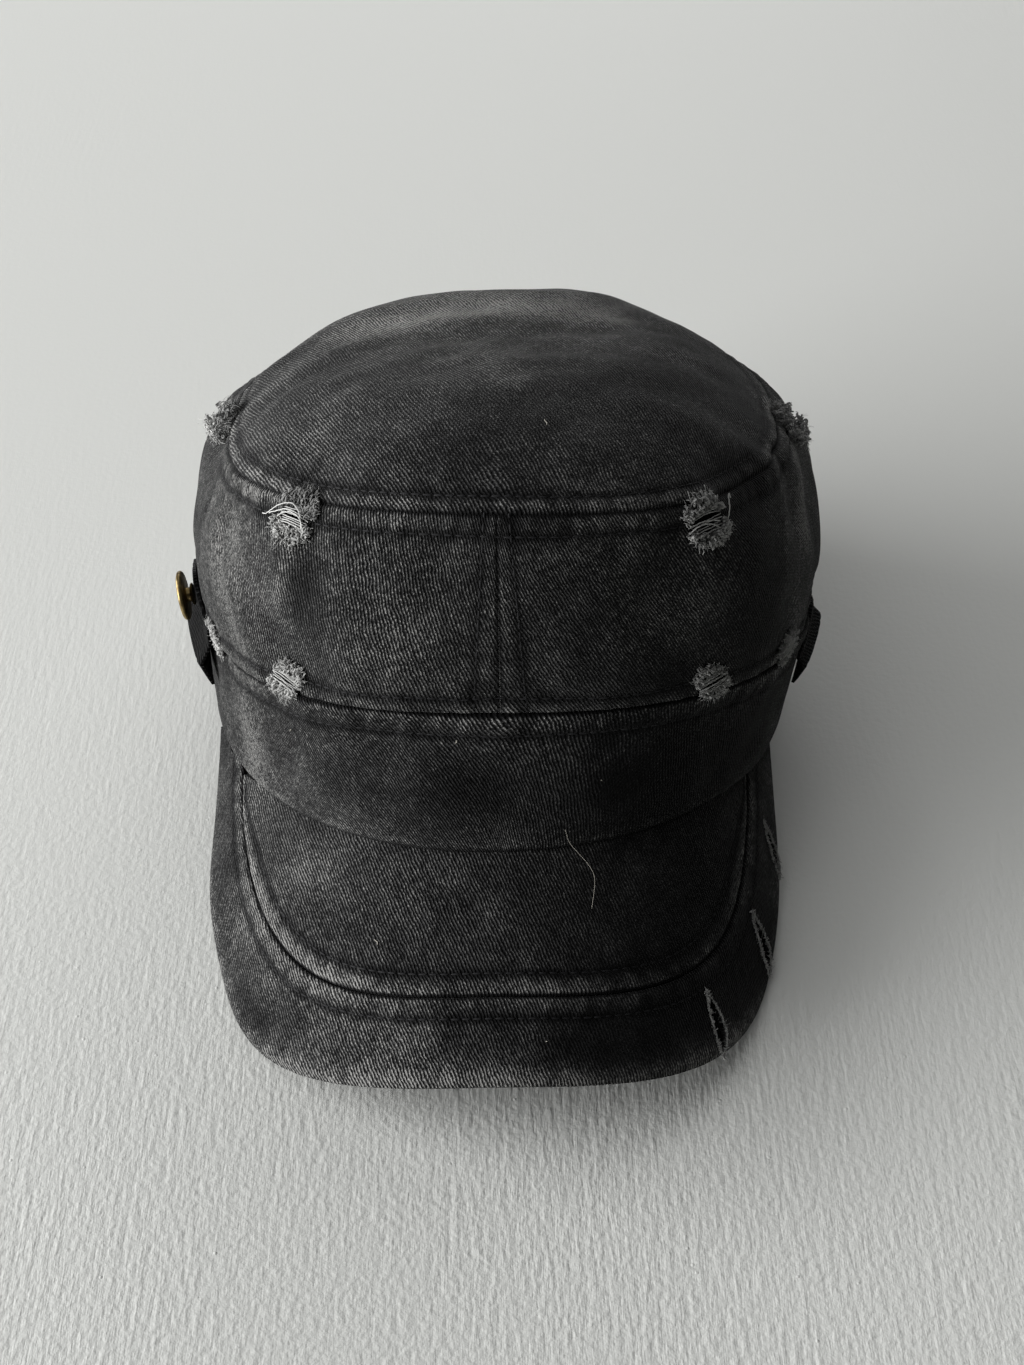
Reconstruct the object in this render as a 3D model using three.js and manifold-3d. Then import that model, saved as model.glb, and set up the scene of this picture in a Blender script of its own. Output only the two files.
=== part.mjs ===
// Cadet cap in cotton twill, lying on the back of its rim and the corners of its peak.
// Millimetres, +Z up, the front faces -Y, the floor is z = 0. The sizes below are counted
// from the middle of the rim; each piece is moved at the end so that the cap is centred.
import * as THREE from 'three';
import { mergeVertices } from 'three/addons/utils/BufferGeometryUtils.js';
import Module from 'manifold-3d';

// ---- Named sizes -----------------------------------------------------------

// Three closed rings carry the crown. The angle runs round the head, and 0 is the front.
//   halfWidth, halfLength  half sizes of the ring seen from above
//   square                 exponent of the oval: 2 is an ellipse, more is squarer
//   centre                 how far behind the middle of the rim it sits
//   egg                    narrowing of the front
//   three, four            three- and four-lobed wander of the sewn edge
//   skew, skew3, shift     the crown's small one-sided lean
//   height, tilt           height of the ring's middle, and how far its front stands over it
//   saddle, wave           rise of the front and back over the sides, and a three-lobed rise
const RINGS = {
  rim: {
    halfWidth: 84.5, halfLength: 102.5, square: 2.08, centre: 0, egg: 0.14, three: -0.5, four: -0.6,
    skew: -1.2, skew3: 0, shift: 0,
  },
  seam: {
    halfWidth: 86.5, halfLength: 98.5, square: 2.7, centre: 13.5, egg: 0, three: 2.8, four: 0,
    skew: 1.8, skew3: -1.0, shift: 0.7, height: 56.5, tilt: 22, saddle: 3.75, wave: 0.7,
  },
  top: {
    halfWidth: 75.5, halfLength: 90, square: 2.15, centre: 8.7, egg: 0, three: 0.4, four: -1.6,
    skew: 0.5, skew3: 0.5, shift: 1.8, height: 107, tilt: 29, saddle: 3.5, wave: -1.1,
  },
};
const BAND_HEIGHT = 38;
const WALL_HEIGHT = 55;
const TOP_RADIUS = 80;
const DOME = { rise: 22.9, power: 3.6, x: -1.4, y: -2.5 };
const BULGE = { mean: 6.5, front: -3.2 };   // outward belly of the upper wall

// The rim lies on the floor from flatFrom backwards and rises forward of that.
const REST = { flatFrom: 72, fade: 9, slope: 0.209, soften: 3 };

const PEAK = {
  radius: 83.9,      // of the arch from side to side
  slopeDeg: 23,      // fall towards the front
  crown: 48.4,       // height of the arch at the middle of the rim
  shift: -2.3,       // to the wearer's right
  length: 58.4,      // from the rim to the front edge, along the middle
  halfArc: 104,      // half width, measured round the arch
  widest: -61,       // where it is widest, measured along the middle
  square: 2.7,       // squareness of the front
  border: 22,        // width of the outer strip
  cornerLeft: 3.1,   // how much wider the strip is at the front corners
  cornerRight: 0.2,
  tuck: 7,           // how far it runs in under the rim
  backDrop: 49,      // how far the back edge falls away to each side
  backPower: 1.85,
  underEdge: 0.5,    // the underside stops this far inside the edge
};
// The peak's side edges turn outwards a little, most at a place along the middle.
const FLARE = { left: 2.9, right: 1.5, at: -4, reach: 24, power: 8 };

const CLOTH = 1.6;        // top and upper wall
const BAND_CLOTH = 2.2;   // the head band is doubled at the hem
const PEAK_TOP = 1.3;
const PEAK_UNDER = 2.2;
const GAP = 0.3;          // between neighbouring pieces

// Folds and dents of the soft crown: a line from a to b, how wide it works, and how
// far the cloth moves out (+) or in (-).
const FOLDS = [
  { name: 'corner crease left',    a: [-65, -36, 120], b: [-50, -60, 130], width: 5,  out: 1.2 },
  { name: 'hollow over left tear', a: [-46, -52, 134], b: [-40, -58, 136], width: 10, out: -2.4 },
  { name: 'rub below left tear',   a: [-51, -66, 120], b: [-54, -69, 105], width: 6,  out: 1.3 },
  { name: 'fold left',             a: [-77, 8, 98],    b: [-77, -16, 99],  width: 8,  out: -2.6 },
  { name: 'corner dent right',     a: [62, -50, 124],  b: [58, -56, 127],  width: 10, out: -3.6 },
  { name: 'fold right',            a: [73, -26, 113],  b: [78, -35, 100],  width: 7,  out: -2.2 },
  { name: 'belly back right',      a: [80, 40, 84],    b: [81, 16, 88],    width: 15, out: 3.0 },
  { name: 'belly back left',       a: [-80, 44, 80],   b: [-80, 30, 84],   width: 14, out: 1.6 },
  { name: 'dent in band',          a: [-10, -93, 71],  b: [2, -98, 60],    width: 8,  out: -1.5 },
  { name: 'dent left of front',    a: [-57, -68, 96],  b: [-52, -72, 90],  width: 11, out: -2.0 },
  { name: 'dent right of front',   a: [40, -82, 112],  b: [46, -77, 98],   width: 13, out: -1.6 },
  { name: 'swell of the front',    a: [-20, -86, 112], b: [14, -88, 106],  width: 16, out: 0.9 },
  { name: 'sag of the top',        a: [-30, 10, 131],  b: [26, 30, 126],   width: 24, out: -1.6 },
  { name: 'fold back',             a: [-30, 106, 70],  b: [34, 108, 58],   width: 12, out: -2.4 },
  { name: 'fold back left',        a: [-66, 84, 74],   b: [-56, 92, 40],   width: 9,  out: -1.8 },
];
const HEAD = new THREE.Vector3(0, 8, 66);   // folds push away from this point

// Worn-through places on the seams: angle round the crown, height up the upper wall
// (0 band seam, 1 top seam), half sizes along and up, and how proud the fluff stands.
const TEARS = [
  { name: 'fray_top_front_left',   deg: -37.5, up: 0.90, along: 7.4, high: 6.0, proud: 2.6 },
  { name: 'fray_top_front_right',  deg: 36.0,  up: 0.90, along: 8.4, high: 6.2, proud: 2.6 },
  { name: 'fray_top_side_left',    deg: -92.0, up: 0.88, along: 8.0, high: 6.0, proud: 4.6 },
  { name: 'fray_top_side_right',   deg: 89.0,  up: 0.88, along: 8.0, high: 5.6, proud: 3.6 },
  { name: 'fray_band_front_left',  deg: -33.0, up: 0.13, along: 6.4, high: 6.2, proud: 2.4 },
  { name: 'fray_band_front_right', deg: 31.0,  up: 0.13, along: 6.4, high: 6.2, proud: 2.4 },
  { name: 'fray_band_side_left',   deg: -65.0, up: 0.13, along: 7.0, high: 6.2, proud: 2.2 },
  { name: 'fray_band_side_right',  deg: 57.0,  up: 0.13, along: 7.0, high: 6.2, proud: 2.2 },
];
const TUFT = { clear: 0.8, edge: 0.6, sides: 14, uneven: 0.22 };

// Slashes in the peak's border: ends as (across, along) on the peak, and how far the
// lips stand from the line between the ends.
const SLASHES = [
  { name: 'rear',   from: [89.6, -24.5], to: [97.9, -10.4], left: 0.8, right: 2.2 },
  { name: 'middle', from: [78.9, 4.8],   to: [86.6, 20.5],  left: 0.8, right: 2.4 },
  { name: 'front',  from: [57.7, 30.6],  to: [61.9, 45.6],  left: 0.8, right: 2.2 },
];

// Side tabs: middle angle, lower and upper height, and the pinch that stands off the cap:
// its height, how far it reaches above and below that, and how far it stands out.
const TABS = [
  { name: 'strap_tab_left',  deg: -80, low: 39, high: 65, pinchAt: 46.6, above: 5.5, below: 7, pinch: 4.9 },
  { name: 'strap_tab_right', deg: 75,  low: 44, high: 58, pinchAt: 50,   above: 2.6, below: 6, pinch: 3.2 },
];
const TAB = { spread: 6.5, clear: 0.5, thick: 1.6, backMore: 0.2, endsRise: 1, endsFall: 3 };
const BUTTON = {
  deg: -80, facing: -88, height: 61, standOff: 5.6, radius: 7, thick: 1.5, lip: 0.35, post: 2,
  foot: 3, clear: 0.6,
};

const ORIGIN = { x: 0.42, y: -22.39 };   // middle of the whole cap, seen from above

// ---- Shape of the crown ----------------------------------------------------

const rad = THREE.MathUtils.degToRad;
const clamp = THREE.MathUtils.clamp;
const power = (v, n) => Math.sign(v) * Math.abs(v) ** (2 / n);
const point = (x, y, z) => new THREE.Vector3(x, y, z);
const SLOPE = rad(PEAK.slopeDeg);

// Height of the peak's upper face over a place on the plan.
function peakHeight(x, y, off) {
  const r = PEAK.radius + off;
  const across = Math.min(Math.abs(x - PEAK.shift), r * 0.985);
  const arch = Math.sqrt(r * r - across * across) - PEAK.radius;
  return PEAK.crown + (RINGS.rim.halfLength + y) * Math.tan(SLOPE) + arch / Math.cos(SLOPE);
}

// Height of the rim's lower edge: flat at the back, rising forward, riding on the peak.
function rimHeight(x, y, phi) {
  const lift = (REST.flatFrom - y) * REST.slope;
  const flat = clamp((y - REST.flatFrom) / REST.fade, 0, 1);
  const plain = 0.5 * (lift + Math.hypot(lift, REST.soften)) * (1 - flat);
  const front = clamp((90 - Math.abs(THREE.MathUtils.radToDeg(phi))) / 12, 0, 1);
  const over = peakHeight(x, y, GAP * 2) - plain;
  return plain + front * 0.5 * (over + Math.hypot(over, 4 * GAP));
}

function ringPoint(name, phi, inset = 0) {
  const r = RINGS[name];
  const c = Math.cos(phi);
  const s = Math.sin(phi);
  const wander = r.three * Math.cos(3 * phi) + r.four * Math.cos(4 * phi) + r.skew * Math.sin(2 * phi)
    + r.skew3 * Math.sin(3 * phi) + r.shift * s;
  const out = wander - inset - (name === 'rim' ? r.three + r.four : 0);
  const x = r.halfWidth * power(s, r.square) * (1 - r.egg * c) + out * s;
  const y = r.centre - r.halfLength * power(c, r.square) - out * c;
  if (name === 'rim') return point(x, y, rimHeight(x, y, phi));
  const z = r.height + r.tilt * c + r.saddle * Math.cos(2 * phi) + r.wave * Math.cos(3 * phi);
  return point(x, y, z);
}

function fold(p) {
  let out = 0;
  for (const f of FOLDS) {
    const line = new THREE.Line3(point(...f.a), point(...f.b));
    const near = line.closestPointToPoint(p, true, point(0, 0, 0));
    out += f.out * Math.exp(-((near.distanceTo(p) / f.width) ** 2));
  }
  return p.addScaledVector(p.clone().sub(HEAD).normalize(), out);
}

// Outer faces: phi is the angle round the head, and the second number runs from
// 0 at the lower seam to 1 at the upper one, or from 0 at the middle of the top to 1.
function bandSurface(phi, s) {
  const p = ringPoint('rim', phi).lerp(ringPoint('seam', phi), s);
  return s < 0.02 ? p : fold(p);
}
function wallSurface(phi, s) {
  const p = ringPoint('seam', phi).lerp(ringPoint('top', phi), s);
  const belly = (BULGE.mean + BULGE.front * Math.cos(phi)) * 4 * s * (1 - s);
  return fold(p.add(point(Math.sin(phi) * belly, -Math.cos(phi) * belly, 0)));
}
function topSurface(phi, rho) {
  const t = RINGS.top;
  const p = point(DOME.x, t.centre + DOME.y, t.height - t.tilt * DOME.y / t.halfLength);
  p.lerp(ringPoint('top', phi), rho);
  p.z += DOME.rise * (1 - rho ** DOME.power);
  return fold(p);
}

function normalOf(surface, a, b, stepA, stepB) {
  const alongA = surface(a + stepA, b).sub(surface(a - stepA, b));
  const alongB = surface(a, b + stepB).sub(surface(a, b - stepB));
  const n = alongA.cross(alongB).normalize();
  return n.dot(surface(a, b).sub(HEAD)) < 0 ? n.negate() : n;
}
const bandNormal = (phi, s) => normalOf(bandSurface, phi, clamp(s, 0.04, 0.98), 0.02, 0.01);
const wallNormal = (phi, s) => normalOf(wallSurface, phi, clamp(s, 0.01, 0.99), 0.02, 0.01);
const topNormal = (phi, rho) => normalOf(topSurface, phi, clamp(rho, 0.03, 0.99), 0.04, 0.01);

// Where two pieces meet, both are cut on the plane halfway between them.
function mitre(normal, neighbour, thick) {
  const half = normal.clone().add(neighbour).normalize();
  return half.multiplyScalar(thick / Math.max(0.4, half.dot(normal)));
}

// ---- Closed solids from grids of points ------------------------------------

function closed(points, triangles) {
  const at = (k) => points[k];
  let volume = 0;
  for (const [a, b, c] of triangles) volume += at(a).dot(at(b).clone().cross(at(c)));
  const order = volume < 0 ? ([a, b, c]) => [a, c, b] : (t) => t;
  const g = new THREE.BufferGeometry().setFromPoints(points);
  g.setIndex(triangles.flatMap(order));
  return g;
}

// Between an outer and an inner grid of points; loop joins the last column to the first.
function slab(outer, inner, loop) {
  const n = outer.length;
  const m = outer[0].length;
  const out = (i, j) => (i % n) * m + j;
  const inn = (i, j) => n * m + (i % n) * m + j;
  const triangles = [];
  const quad = (a, b, c, d) => triangles.push([a, b, c], [a, c, d]);
  for (let i = 0; i < (loop ? n : n - 1); i++) {
    for (let j = 0; j < m - 1; j++) {
      quad(out(i, j), out(i + 1, j), out(i + 1, j + 1), out(i, j + 1));
      quad(inn(i, j), inn(i, j + 1), inn(i + 1, j + 1), inn(i + 1, j));
    }
    quad(out(i, 0), inn(i, 0), inn(i + 1, 0), out(i + 1, 0));
    quad(out(i, m - 1), out(i + 1, m - 1), inn(i + 1, m - 1), inn(i, m - 1));
  }
  for (let j = 0; j < m - 1 && !loop; j++) {
    quad(out(0, j), out(0, j + 1), inn(0, j + 1), inn(0, j));
    quad(out(n - 1, j), inn(n - 1, j), inn(n - 1, j + 1), out(n - 1, j + 1));
  }
  return closed([...outer.flat(), ...inner.flat()], triangles);
}

// The same, with the last row of each grid closed on a middle point.
function lid(outer, inner, outerMiddle, innerMiddle) {
  const n = outer.length;
  const m = outer[0].length;
  const out = (i, j) => (i % n) * m + j;
  const inn = (i, j) => n * m + (i % n) * m + j;
  const middle = 2 * n * m;
  const triangles = [];
  const quad = (a, b, c, d) => triangles.push([a, b, c], [a, c, d]);
  for (let i = 0; i < n; i++) {
    for (let j = 0; j < m - 1; j++) {
      quad(out(i, j), out(i + 1, j), out(i + 1, j + 1), out(i, j + 1));
      quad(inn(i, j), inn(i, j + 1), inn(i + 1, j + 1), inn(i + 1, j));
    }
    triangles.push([out(i, m - 1), out(i + 1, m - 1), middle], [inn(i, m - 1), middle + 1, inn(i + 1, m - 1)]);
    quad(out(i, 0), inn(i, 0), inn(i + 1, 0), out(i + 1, 0));
  }
  return closed([...outer.flat(), ...inner.flat(), outerMiddle, innerMiddle], triangles);
}

const steps = (a, b, n) => Array.from({ length: n + 1 }, (_, i) => a + (b - a) * i / n);
const COLUMNS = 72;
const around = steps(-180, 180, COLUMNS).slice(0, -1).map(rad);

// ---- Crown pieces ----------------------------------------------------------

// Head band: from the rim up to the band seam, its lower edge level.
function headBand() {
  const rows = [0, 0.06, 0.35, 0.68, 1 - GAP / 2 / BAND_HEIGHT];
  const outer = around.map((phi) => rows.map((s) => bandSurface(phi, s)));
  const inner = around.map((phi) => rows.map((s, j) => {
    if (j === 0) return ringPoint('rim', phi, BAND_CLOTH);
    const n = bandNormal(phi, s);
    if (j < rows.length - 1) return bandSurface(phi, s).addScaledVector(n, -BAND_CLOTH);
    return bandSurface(phi, s).sub(mitre(n, wallNormal(phi, 0), BAND_CLOTH));
  }));
  return slab(outer, inner, true);
}

// Half of the upper wall, from the front seam round to the back seam.
function sidePanel(side) {
  const rows = [GAP / 2 / WALL_HEIGHT, 0.16, 0.34, 0.52, 0.7, 0.86, 1 - GAP / 2 / WALL_HEIGHT];
  const seam = THREE.MathUtils.radToDeg(GAP / 2 / RINGS.seam.halfWidth);
  const columns = steps(seam, 180 - seam, COLUMNS / 2).map((d) => rad(side * d));
  const outer = columns.map((phi) => rows.map((s) => wallSurface(phi, s)));
  const inner = columns.map((phi) => rows.map((s, j) => {
    const n = wallNormal(phi, s);
    if (j === 0) return wallSurface(phi, s).sub(mitre(n, bandNormal(phi, 1), CLOTH));
    if (j === rows.length - 1) return wallSurface(phi, s).sub(mitre(n, topNormal(phi, 1), CLOTH));
    return wallSurface(phi, s).addScaledVector(n, -CLOTH);
  }));
  return slab(outer, inner, false);
}

function topPanel() {
  const rows = [1 - GAP / 2 / TOP_RADIUS, 0.94, 0.85, 0.72, 0.56, 0.38, 0.18];
  const outer = around.map((phi) => rows.map((r) => topSurface(phi, r)));
  const inner = around.map((phi) => rows.map((r, j) => {
    const n = topNormal(phi, r);
    if (j === 0) return topSurface(phi, r).sub(mitre(n, wallNormal(phi, 1), CLOTH));
    return topSurface(phi, r).addScaledVector(n, -CLOTH);
  }));
  const middle = topSurface(0, 0);
  return lid(outer, inner, middle, middle.clone().add(point(0, 0, -CLOTH)));
}

// ---- Peak ------------------------------------------------------------------
// On the flat pattern u runs round the arch and q from the rim forward.

function peakSurface(u, q, off) {
  const angle = u / PEAK.radius;
  const r = PEAK.radius + off;
  const arch = r * Math.cos(angle) - PEAK.radius;
  const flare = (u < 0 ? -FLARE.left : FLARE.right) * (Math.abs(u) / PEAK.halfArc) ** FLARE.power
    * Math.exp(-(((q - FLARE.at) / FLARE.reach) ** 2));
  const x = PEAK.shift + r * Math.sin(angle) + flare;
  const y = -RINGS.rim.halfLength - q * Math.cos(SLOPE) - arch * Math.sin(SLOPE);
  return point(x, y, PEAK.crown - q * Math.sin(SLOPE) + arch * Math.cos(SLOPE));
}

function edgeAt(t) {
  const reachForward = (PEAK.length - PEAK.widest) * power(Math.cos(t), PEAK.square);
  return new THREE.Vector2(PEAK.halfArc * power(Math.sin(t), PEAK.square), PEAK.widest + reachForward);
}
// The outline at t, moved in by a distance.
function outline(t, inset) {
  const before = edgeAt(Math.max(t - 0.004, -Math.PI / 2));
  const after = edgeAt(Math.min(t + 0.004, Math.PI / 2));
  const along = after.sub(before).normalize();
  return edgeAt(t).add(new THREE.Vector2(along.y, -along.x).multiplyScalar(inset));
}
// The seam between the inner panel and the border at t, moved in by a distance.
function seamLine(t, inset) {
  const wider = (t < 0 ? PEAK.cornerLeft : PEAK.cornerRight) * Math.sin(2 * t) ** 2;
  return outline(t, PEAK.border + wider + inset);
}
// The back edge, a tuck's width behind the rim.
function backEdge(u) {
  return -PEAK.tuck - PEAK.backDrop * (Math.abs(u) / PEAK.halfArc) ** PEAK.backPower;
}
// Where the moved seam reaches the back edge.
function seamEnd(inset) {
  let inside = rad(40);
  let outside = rad(90);
  for (let k = 0; k < 40; k++) {
    const middle = (inside + outside) / 2;
    const p = seamLine(middle, inset);
    if (p.y > backEdge(p.x)) inside = middle;
    else outside = middle;
  }
  return inside;
}

// A sheet of the peak over a grid of pattern points, kept above the floor.
function peakSheet(grid, face, thick) {
  const lay = (off) => grid.map((column) => column.map((p) => {
    const q = peakSurface(p.x, p.y, off);
    return q.setZ(Math.max(q.z, 0));
  }));
  return slab(lay(face), lay(face - thick), false);
}

function peakInner() {
  const inset = GAP / 2;
  const end = seamEnd(inset) * 0.985;
  const backWidth = seamLine(end, inset).x - 1.5;
  const fan = 1.35;
  return peakSheet(steps(-1, 1, 36).map((k) => {
    const u = backWidth * Math.sin(k * fan) / Math.sin(fan);
    const back = new THREE.Vector2(u, backEdge(u));
    return [0, 0.18, 0.42, 0.7, 1].map((v) => back.clone().lerp(seamLine(k * end, inset), v));
  }), 0, PEAK_TOP);
}

function peakBorder() {
  const inset = -GAP / 2;
  const end = seamEnd(inset);
  return peakSheet(steps(-1, 1, 48).map((k) => {
    const near = seamLine(k * end, inset);
    return [0, 0.33, 0.66, 1].map((v) => near.clone().lerp(edgeAt(k * Math.PI / 2), v));
  }), 0, PEAK_TOP);
}

function peakUnderside() {
  const fan = 1.4;
  return peakSheet(steps(-1, 1, 40).map((k) => {
    const u = (PEAK.halfArc - 2 * PEAK.underEdge) * Math.sin(k * fan) / Math.sin(fan);
    const back = new THREE.Vector2(u, backEdge(u));
    const front = outline(k * rad(89.8), PEAK.underEdge);
    return [0, 0.12, 0.3, 0.5, 0.7, 0.86, 1].map((v) => back.clone().lerp(front, v));
  }), -PEAK_TOP - GAP, PEAK_UNDER);
}

// ---- Frayed places, tabs and button ----------------------------------------

// A place on the upper wall, so many mm along and up from an angle and a height. Past
// a seam it goes on over the neighbouring piece.
function besideSeam(deg, up, along, high) {
  const phi = rad(deg);
  const perRadian = wallSurface(phi + 0.01, up).distanceTo(wallSurface(phi - 0.01, up)) / 0.02;
  const angle = phi + along / perRadian;
  const s = up + high / ringPoint('seam', phi).distanceTo(ringPoint('top', phi));
  const inWall = clamp(s, 0.012, 0.988);
  const n = wallNormal(angle, inWall);
  const past = (s - inWall) * WALL_HEIGHT;
  if (past === 0) return { p: wallSurface(angle, inWall), n };
  const [surface, normal, at] = past > 0
    ? [topSurface, topNormal, 1 - past / TOP_RADIUS]
    : [bandSurface, bandNormal, 1 + past / BAND_HEIGHT];
  return { p: surface(angle, at), n: n.lerp(normal(angle, at), 0.5).normalize() };
}

function tuft(t) {
  const place = (angle, r, off) => {
    const wide = r * (1 + TUFT.uneven * 0.5 * Math.sin(angle * TUFT.sides * 0.38 + t.deg));
    const along = Math.cos(angle) * t.along * wide;
    const { p, n } = besideSeam(t.deg, t.up, along, Math.sin(angle) * t.high * wide);
    return p.addScaledVector(n, TUFT.clear + off);
  };
  const proud = (angle, r) => {
    const lump = 1 - TUFT.uneven * (0.5 - 0.5 * Math.sin(angle * 5));
    return TUFT.edge + (t.proud - TUFT.edge) * (1 - r ** 4) * lump;
  };
  const angles = steps(0, 2 * Math.PI, TUFT.sides).slice(0, -1);
  const radii = [1, 0.72, 0.4];
  const outer = angles.map((a) => radii.map((r) => place(a, r, proud(a, r))));
  const inner = angles.map((a) => radii.map((r) => place(a, r, 0)));
  return lid(outer, inner, place(0, 0, t.proud * 0.55), place(0, 0, 0));
}

// The place on the crown's side at an angle and a height above the floor.
function sidePoint(phi, z) {
  const seamHeight = wallSurface(phi, 0).z;
  const surface = z < seamHeight ? bandSurface : wallSurface;
  let low = 0;
  let high = 1;
  for (let k = 0; k < 30; k++) {
    const middle = (low + high) / 2;
    if (surface(phi, middle).z < z) low = middle;
    else high = middle;
  }
  const n = z < seamHeight ? bandNormal(phi, low) : wallNormal(phi, low);
  const nearSeam = 1 - clamp(Math.abs(z - seamHeight) / 5, 0, 1);
  const atSeam = bandNormal(phi, 1).add(wallNormal(phi, 0)).normalize();
  return { p: surface(phi, low), n: n.lerp(atSeam, nearSeam / 2).normalize() };
}

function strapTab(t) {
  const grid = (lift) => steps(-1, 1, 7).map((k) => steps(0, 1, 13).map((v) => {
    const low = t.low + TAB.endsRise * k * k;
    const high = t.high - TAB.endsFall * k * k;
    const z = low + (high - low) * v;
    const { p, n } = sidePoint(rad(t.deg + k * TAB.spread), z);
    const above = z - t.pinchAt;
    const fold = Math.max(0, 1 - Math.abs(above) / (above > 0 ? t.above : t.below));
    const pinch = fold * (1 + TAB.backMore * (k * Math.sign(t.deg) - 1));
    return p.addScaledVector(n, TAB.clear + lift + t.pinch * pinch);
  }));
  return slab(grid(TAB.thick), grid(0), false);
}

// Button: a shallow brass cap on a post, which leans a little to the back.
function snapButton() {
  const foot = TAB.clear + TAB.thick + BUTTON.clear;
  const back = BUTTON.standOff - BUTTON.thick / 2;
  const face = BUTTON.standOff + BUTTON.thick / 2;
  const profile = [
    [0, foot], [BUTTON.foot, foot], [BUTTON.foot, foot + 0.5], [BUTTON.post, foot + 0.9],
    [BUTTON.post, back], [BUTTON.radius - 0.5, back], [BUTTON.radius, back + 0.4],
    [BUTTON.radius, face - 0.3], [BUTTON.radius - 0.4, face], [BUTTON.radius - 1.2, face],
    [BUTTON.radius - 1.7, face - BUTTON.lip], [BUTTON.radius - 2.6, face - BUTTON.lip],
    [BUTTON.post + 0.2, face - 0.1], [0, face],
  ].map(([r, h]) => new THREE.Vector2(r, h));
  const g = mergeVertices(bare(new THREE.LatheGeometry(profile, 32)), 1e-3);
  const { p } = sidePoint(rad(BUTTON.deg), BUTTON.height);
  const { n } = sidePoint(rad(BUTTON.facing), BUTTON.height);
  g.applyQuaternion(new THREE.Quaternion().setFromUnitVectors(point(0, 1, 0), n));
  return g.translate(p.x, p.y, p.z);
}

// ---- Cutting ---------------------------------------------------------------

const wasm = await Module();
wasm.setup();

function bare(g) {
  g.deleteAttribute('normal');
  g.deleteAttribute('uv');
  return g;
}
function solid(g) {
  return new wasm.Manifold(new wasm.Mesh({
    numProp: 3,
    vertProperties: Float32Array.from(g.attributes.position.array),
    triVerts: Uint32Array.from(g.index.array),
  }));
}
function geometry(m) {
  const mesh = m.getMesh();
  const g = new THREE.BufferGeometry();
  g.setAttribute('position', new THREE.Float32BufferAttribute(mesh.vertProperties, 3));
  g.setIndex(Array.from(mesh.triVerts));
  return g;
}

// A lens-shaped cutter, as deep as the border.
function slashCutter(s) {
  const from = new THREE.Vector2(...s.from);
  const run = new THREE.Vector2(...s.to).sub(from);
  const across = new THREE.Vector2(-run.y, run.x).normalize();
  const grid = steps(0, 1, 8).map((k) => {
    const open = Math.sin(Math.PI * k) ** 0.8;
    return [0.1 + s.left * open, -0.1 - s.right * open]
      .map((w) => from.clone().addScaledVector(run, k).addScaledVector(across, w));
  });
  return peakSheet(grid, GAP * 2, PEAK_TOP + GAP * 2.5);
}
function slashedBorder() {
  const cut = SLASHES.reduce((m, s) => m.subtract(solid(slashCutter(s))), solid(peakBorder()));
  return geometry(cut);
}

// ---- The part --------------------------------------------------------------

const FINISH = {
  twill: { color: 0x3a3a3c, roughness: 0.92, metalness: 0 },
  strap: { color: 0x19191b, roughness: 0.85, metalness: 0 },
  fray:  { color: 0x77777a, roughness: 0.95, metalness: 0 },
  brass: { color: 0x7a6540, roughness: 0.4, metalness: 1 },
};
function piece(name, finish, g) {
  g.translate(-ORIGIN.x, -ORIGIN.y, 0);
  g.computeVertexNormals();
  const mesh = new THREE.Mesh(g, new THREE.MeshStandardMaterial(FINISH[finish]));
  mesh.name = name;
  return mesh;
}

const cap = new THREE.Group();
cap.name = 'cadet_cap';
cap.add(
  piece('top_panel', 'twill', topPanel()),
  piece('side_panel_left', 'twill', sidePanel(-1)),
  piece('side_panel_right', 'twill', sidePanel(1)),
  piece('head_band', 'twill', headBand()),
  piece('peak_inner_panel', 'twill', peakInner()),
  piece('peak_border_panel', 'twill', slashedBorder()),
  piece('peak_underside', 'twill', peakUnderside()),
  ...TABS.map((t) => piece(t.name, 'strap', strapTab(t))),
  piece('snap_button', 'brass', snapButton()),
  ...TEARS.map((t) => piece(t.name, 'fray', tuft(t))),
);

export default cap;
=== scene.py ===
import math

import bpy
import numpy as np
from mathutils import Matrix, Vector


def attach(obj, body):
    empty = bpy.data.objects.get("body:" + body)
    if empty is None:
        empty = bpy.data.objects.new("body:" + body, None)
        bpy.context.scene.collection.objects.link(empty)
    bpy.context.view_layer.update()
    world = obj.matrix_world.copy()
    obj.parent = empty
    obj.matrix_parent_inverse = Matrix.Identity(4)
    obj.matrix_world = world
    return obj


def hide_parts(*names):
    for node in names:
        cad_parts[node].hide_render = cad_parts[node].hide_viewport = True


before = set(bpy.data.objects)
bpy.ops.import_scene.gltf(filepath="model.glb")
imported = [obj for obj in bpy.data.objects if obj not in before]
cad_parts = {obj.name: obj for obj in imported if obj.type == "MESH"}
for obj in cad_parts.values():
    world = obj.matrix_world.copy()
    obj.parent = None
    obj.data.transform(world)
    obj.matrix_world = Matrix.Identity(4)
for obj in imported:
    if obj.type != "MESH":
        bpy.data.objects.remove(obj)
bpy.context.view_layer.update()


# ---- Head band -------------------------------------------------------------------------
# A strip of washed cotton twill sewn into a loop round the head, with a turned hem at the
# rim. The crown's upper wall is sewn to its top edge. Its front rides up on the arch of the
# peak and its back lies on the floor.
# Shapes are worked out in millimetres from the middle of the rim, and moved into the frame
# when they become a mesh. Angles run round the head: 0 is the front, 90 is the right (+X).

CAP_MIDDLE = np.array([0.42, -22.39, 0])     # what becomes the frame's origin
MM = 0.001
HEAD = np.array([0, 8, 66])                  # the middle of the head, inside the crown

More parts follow.
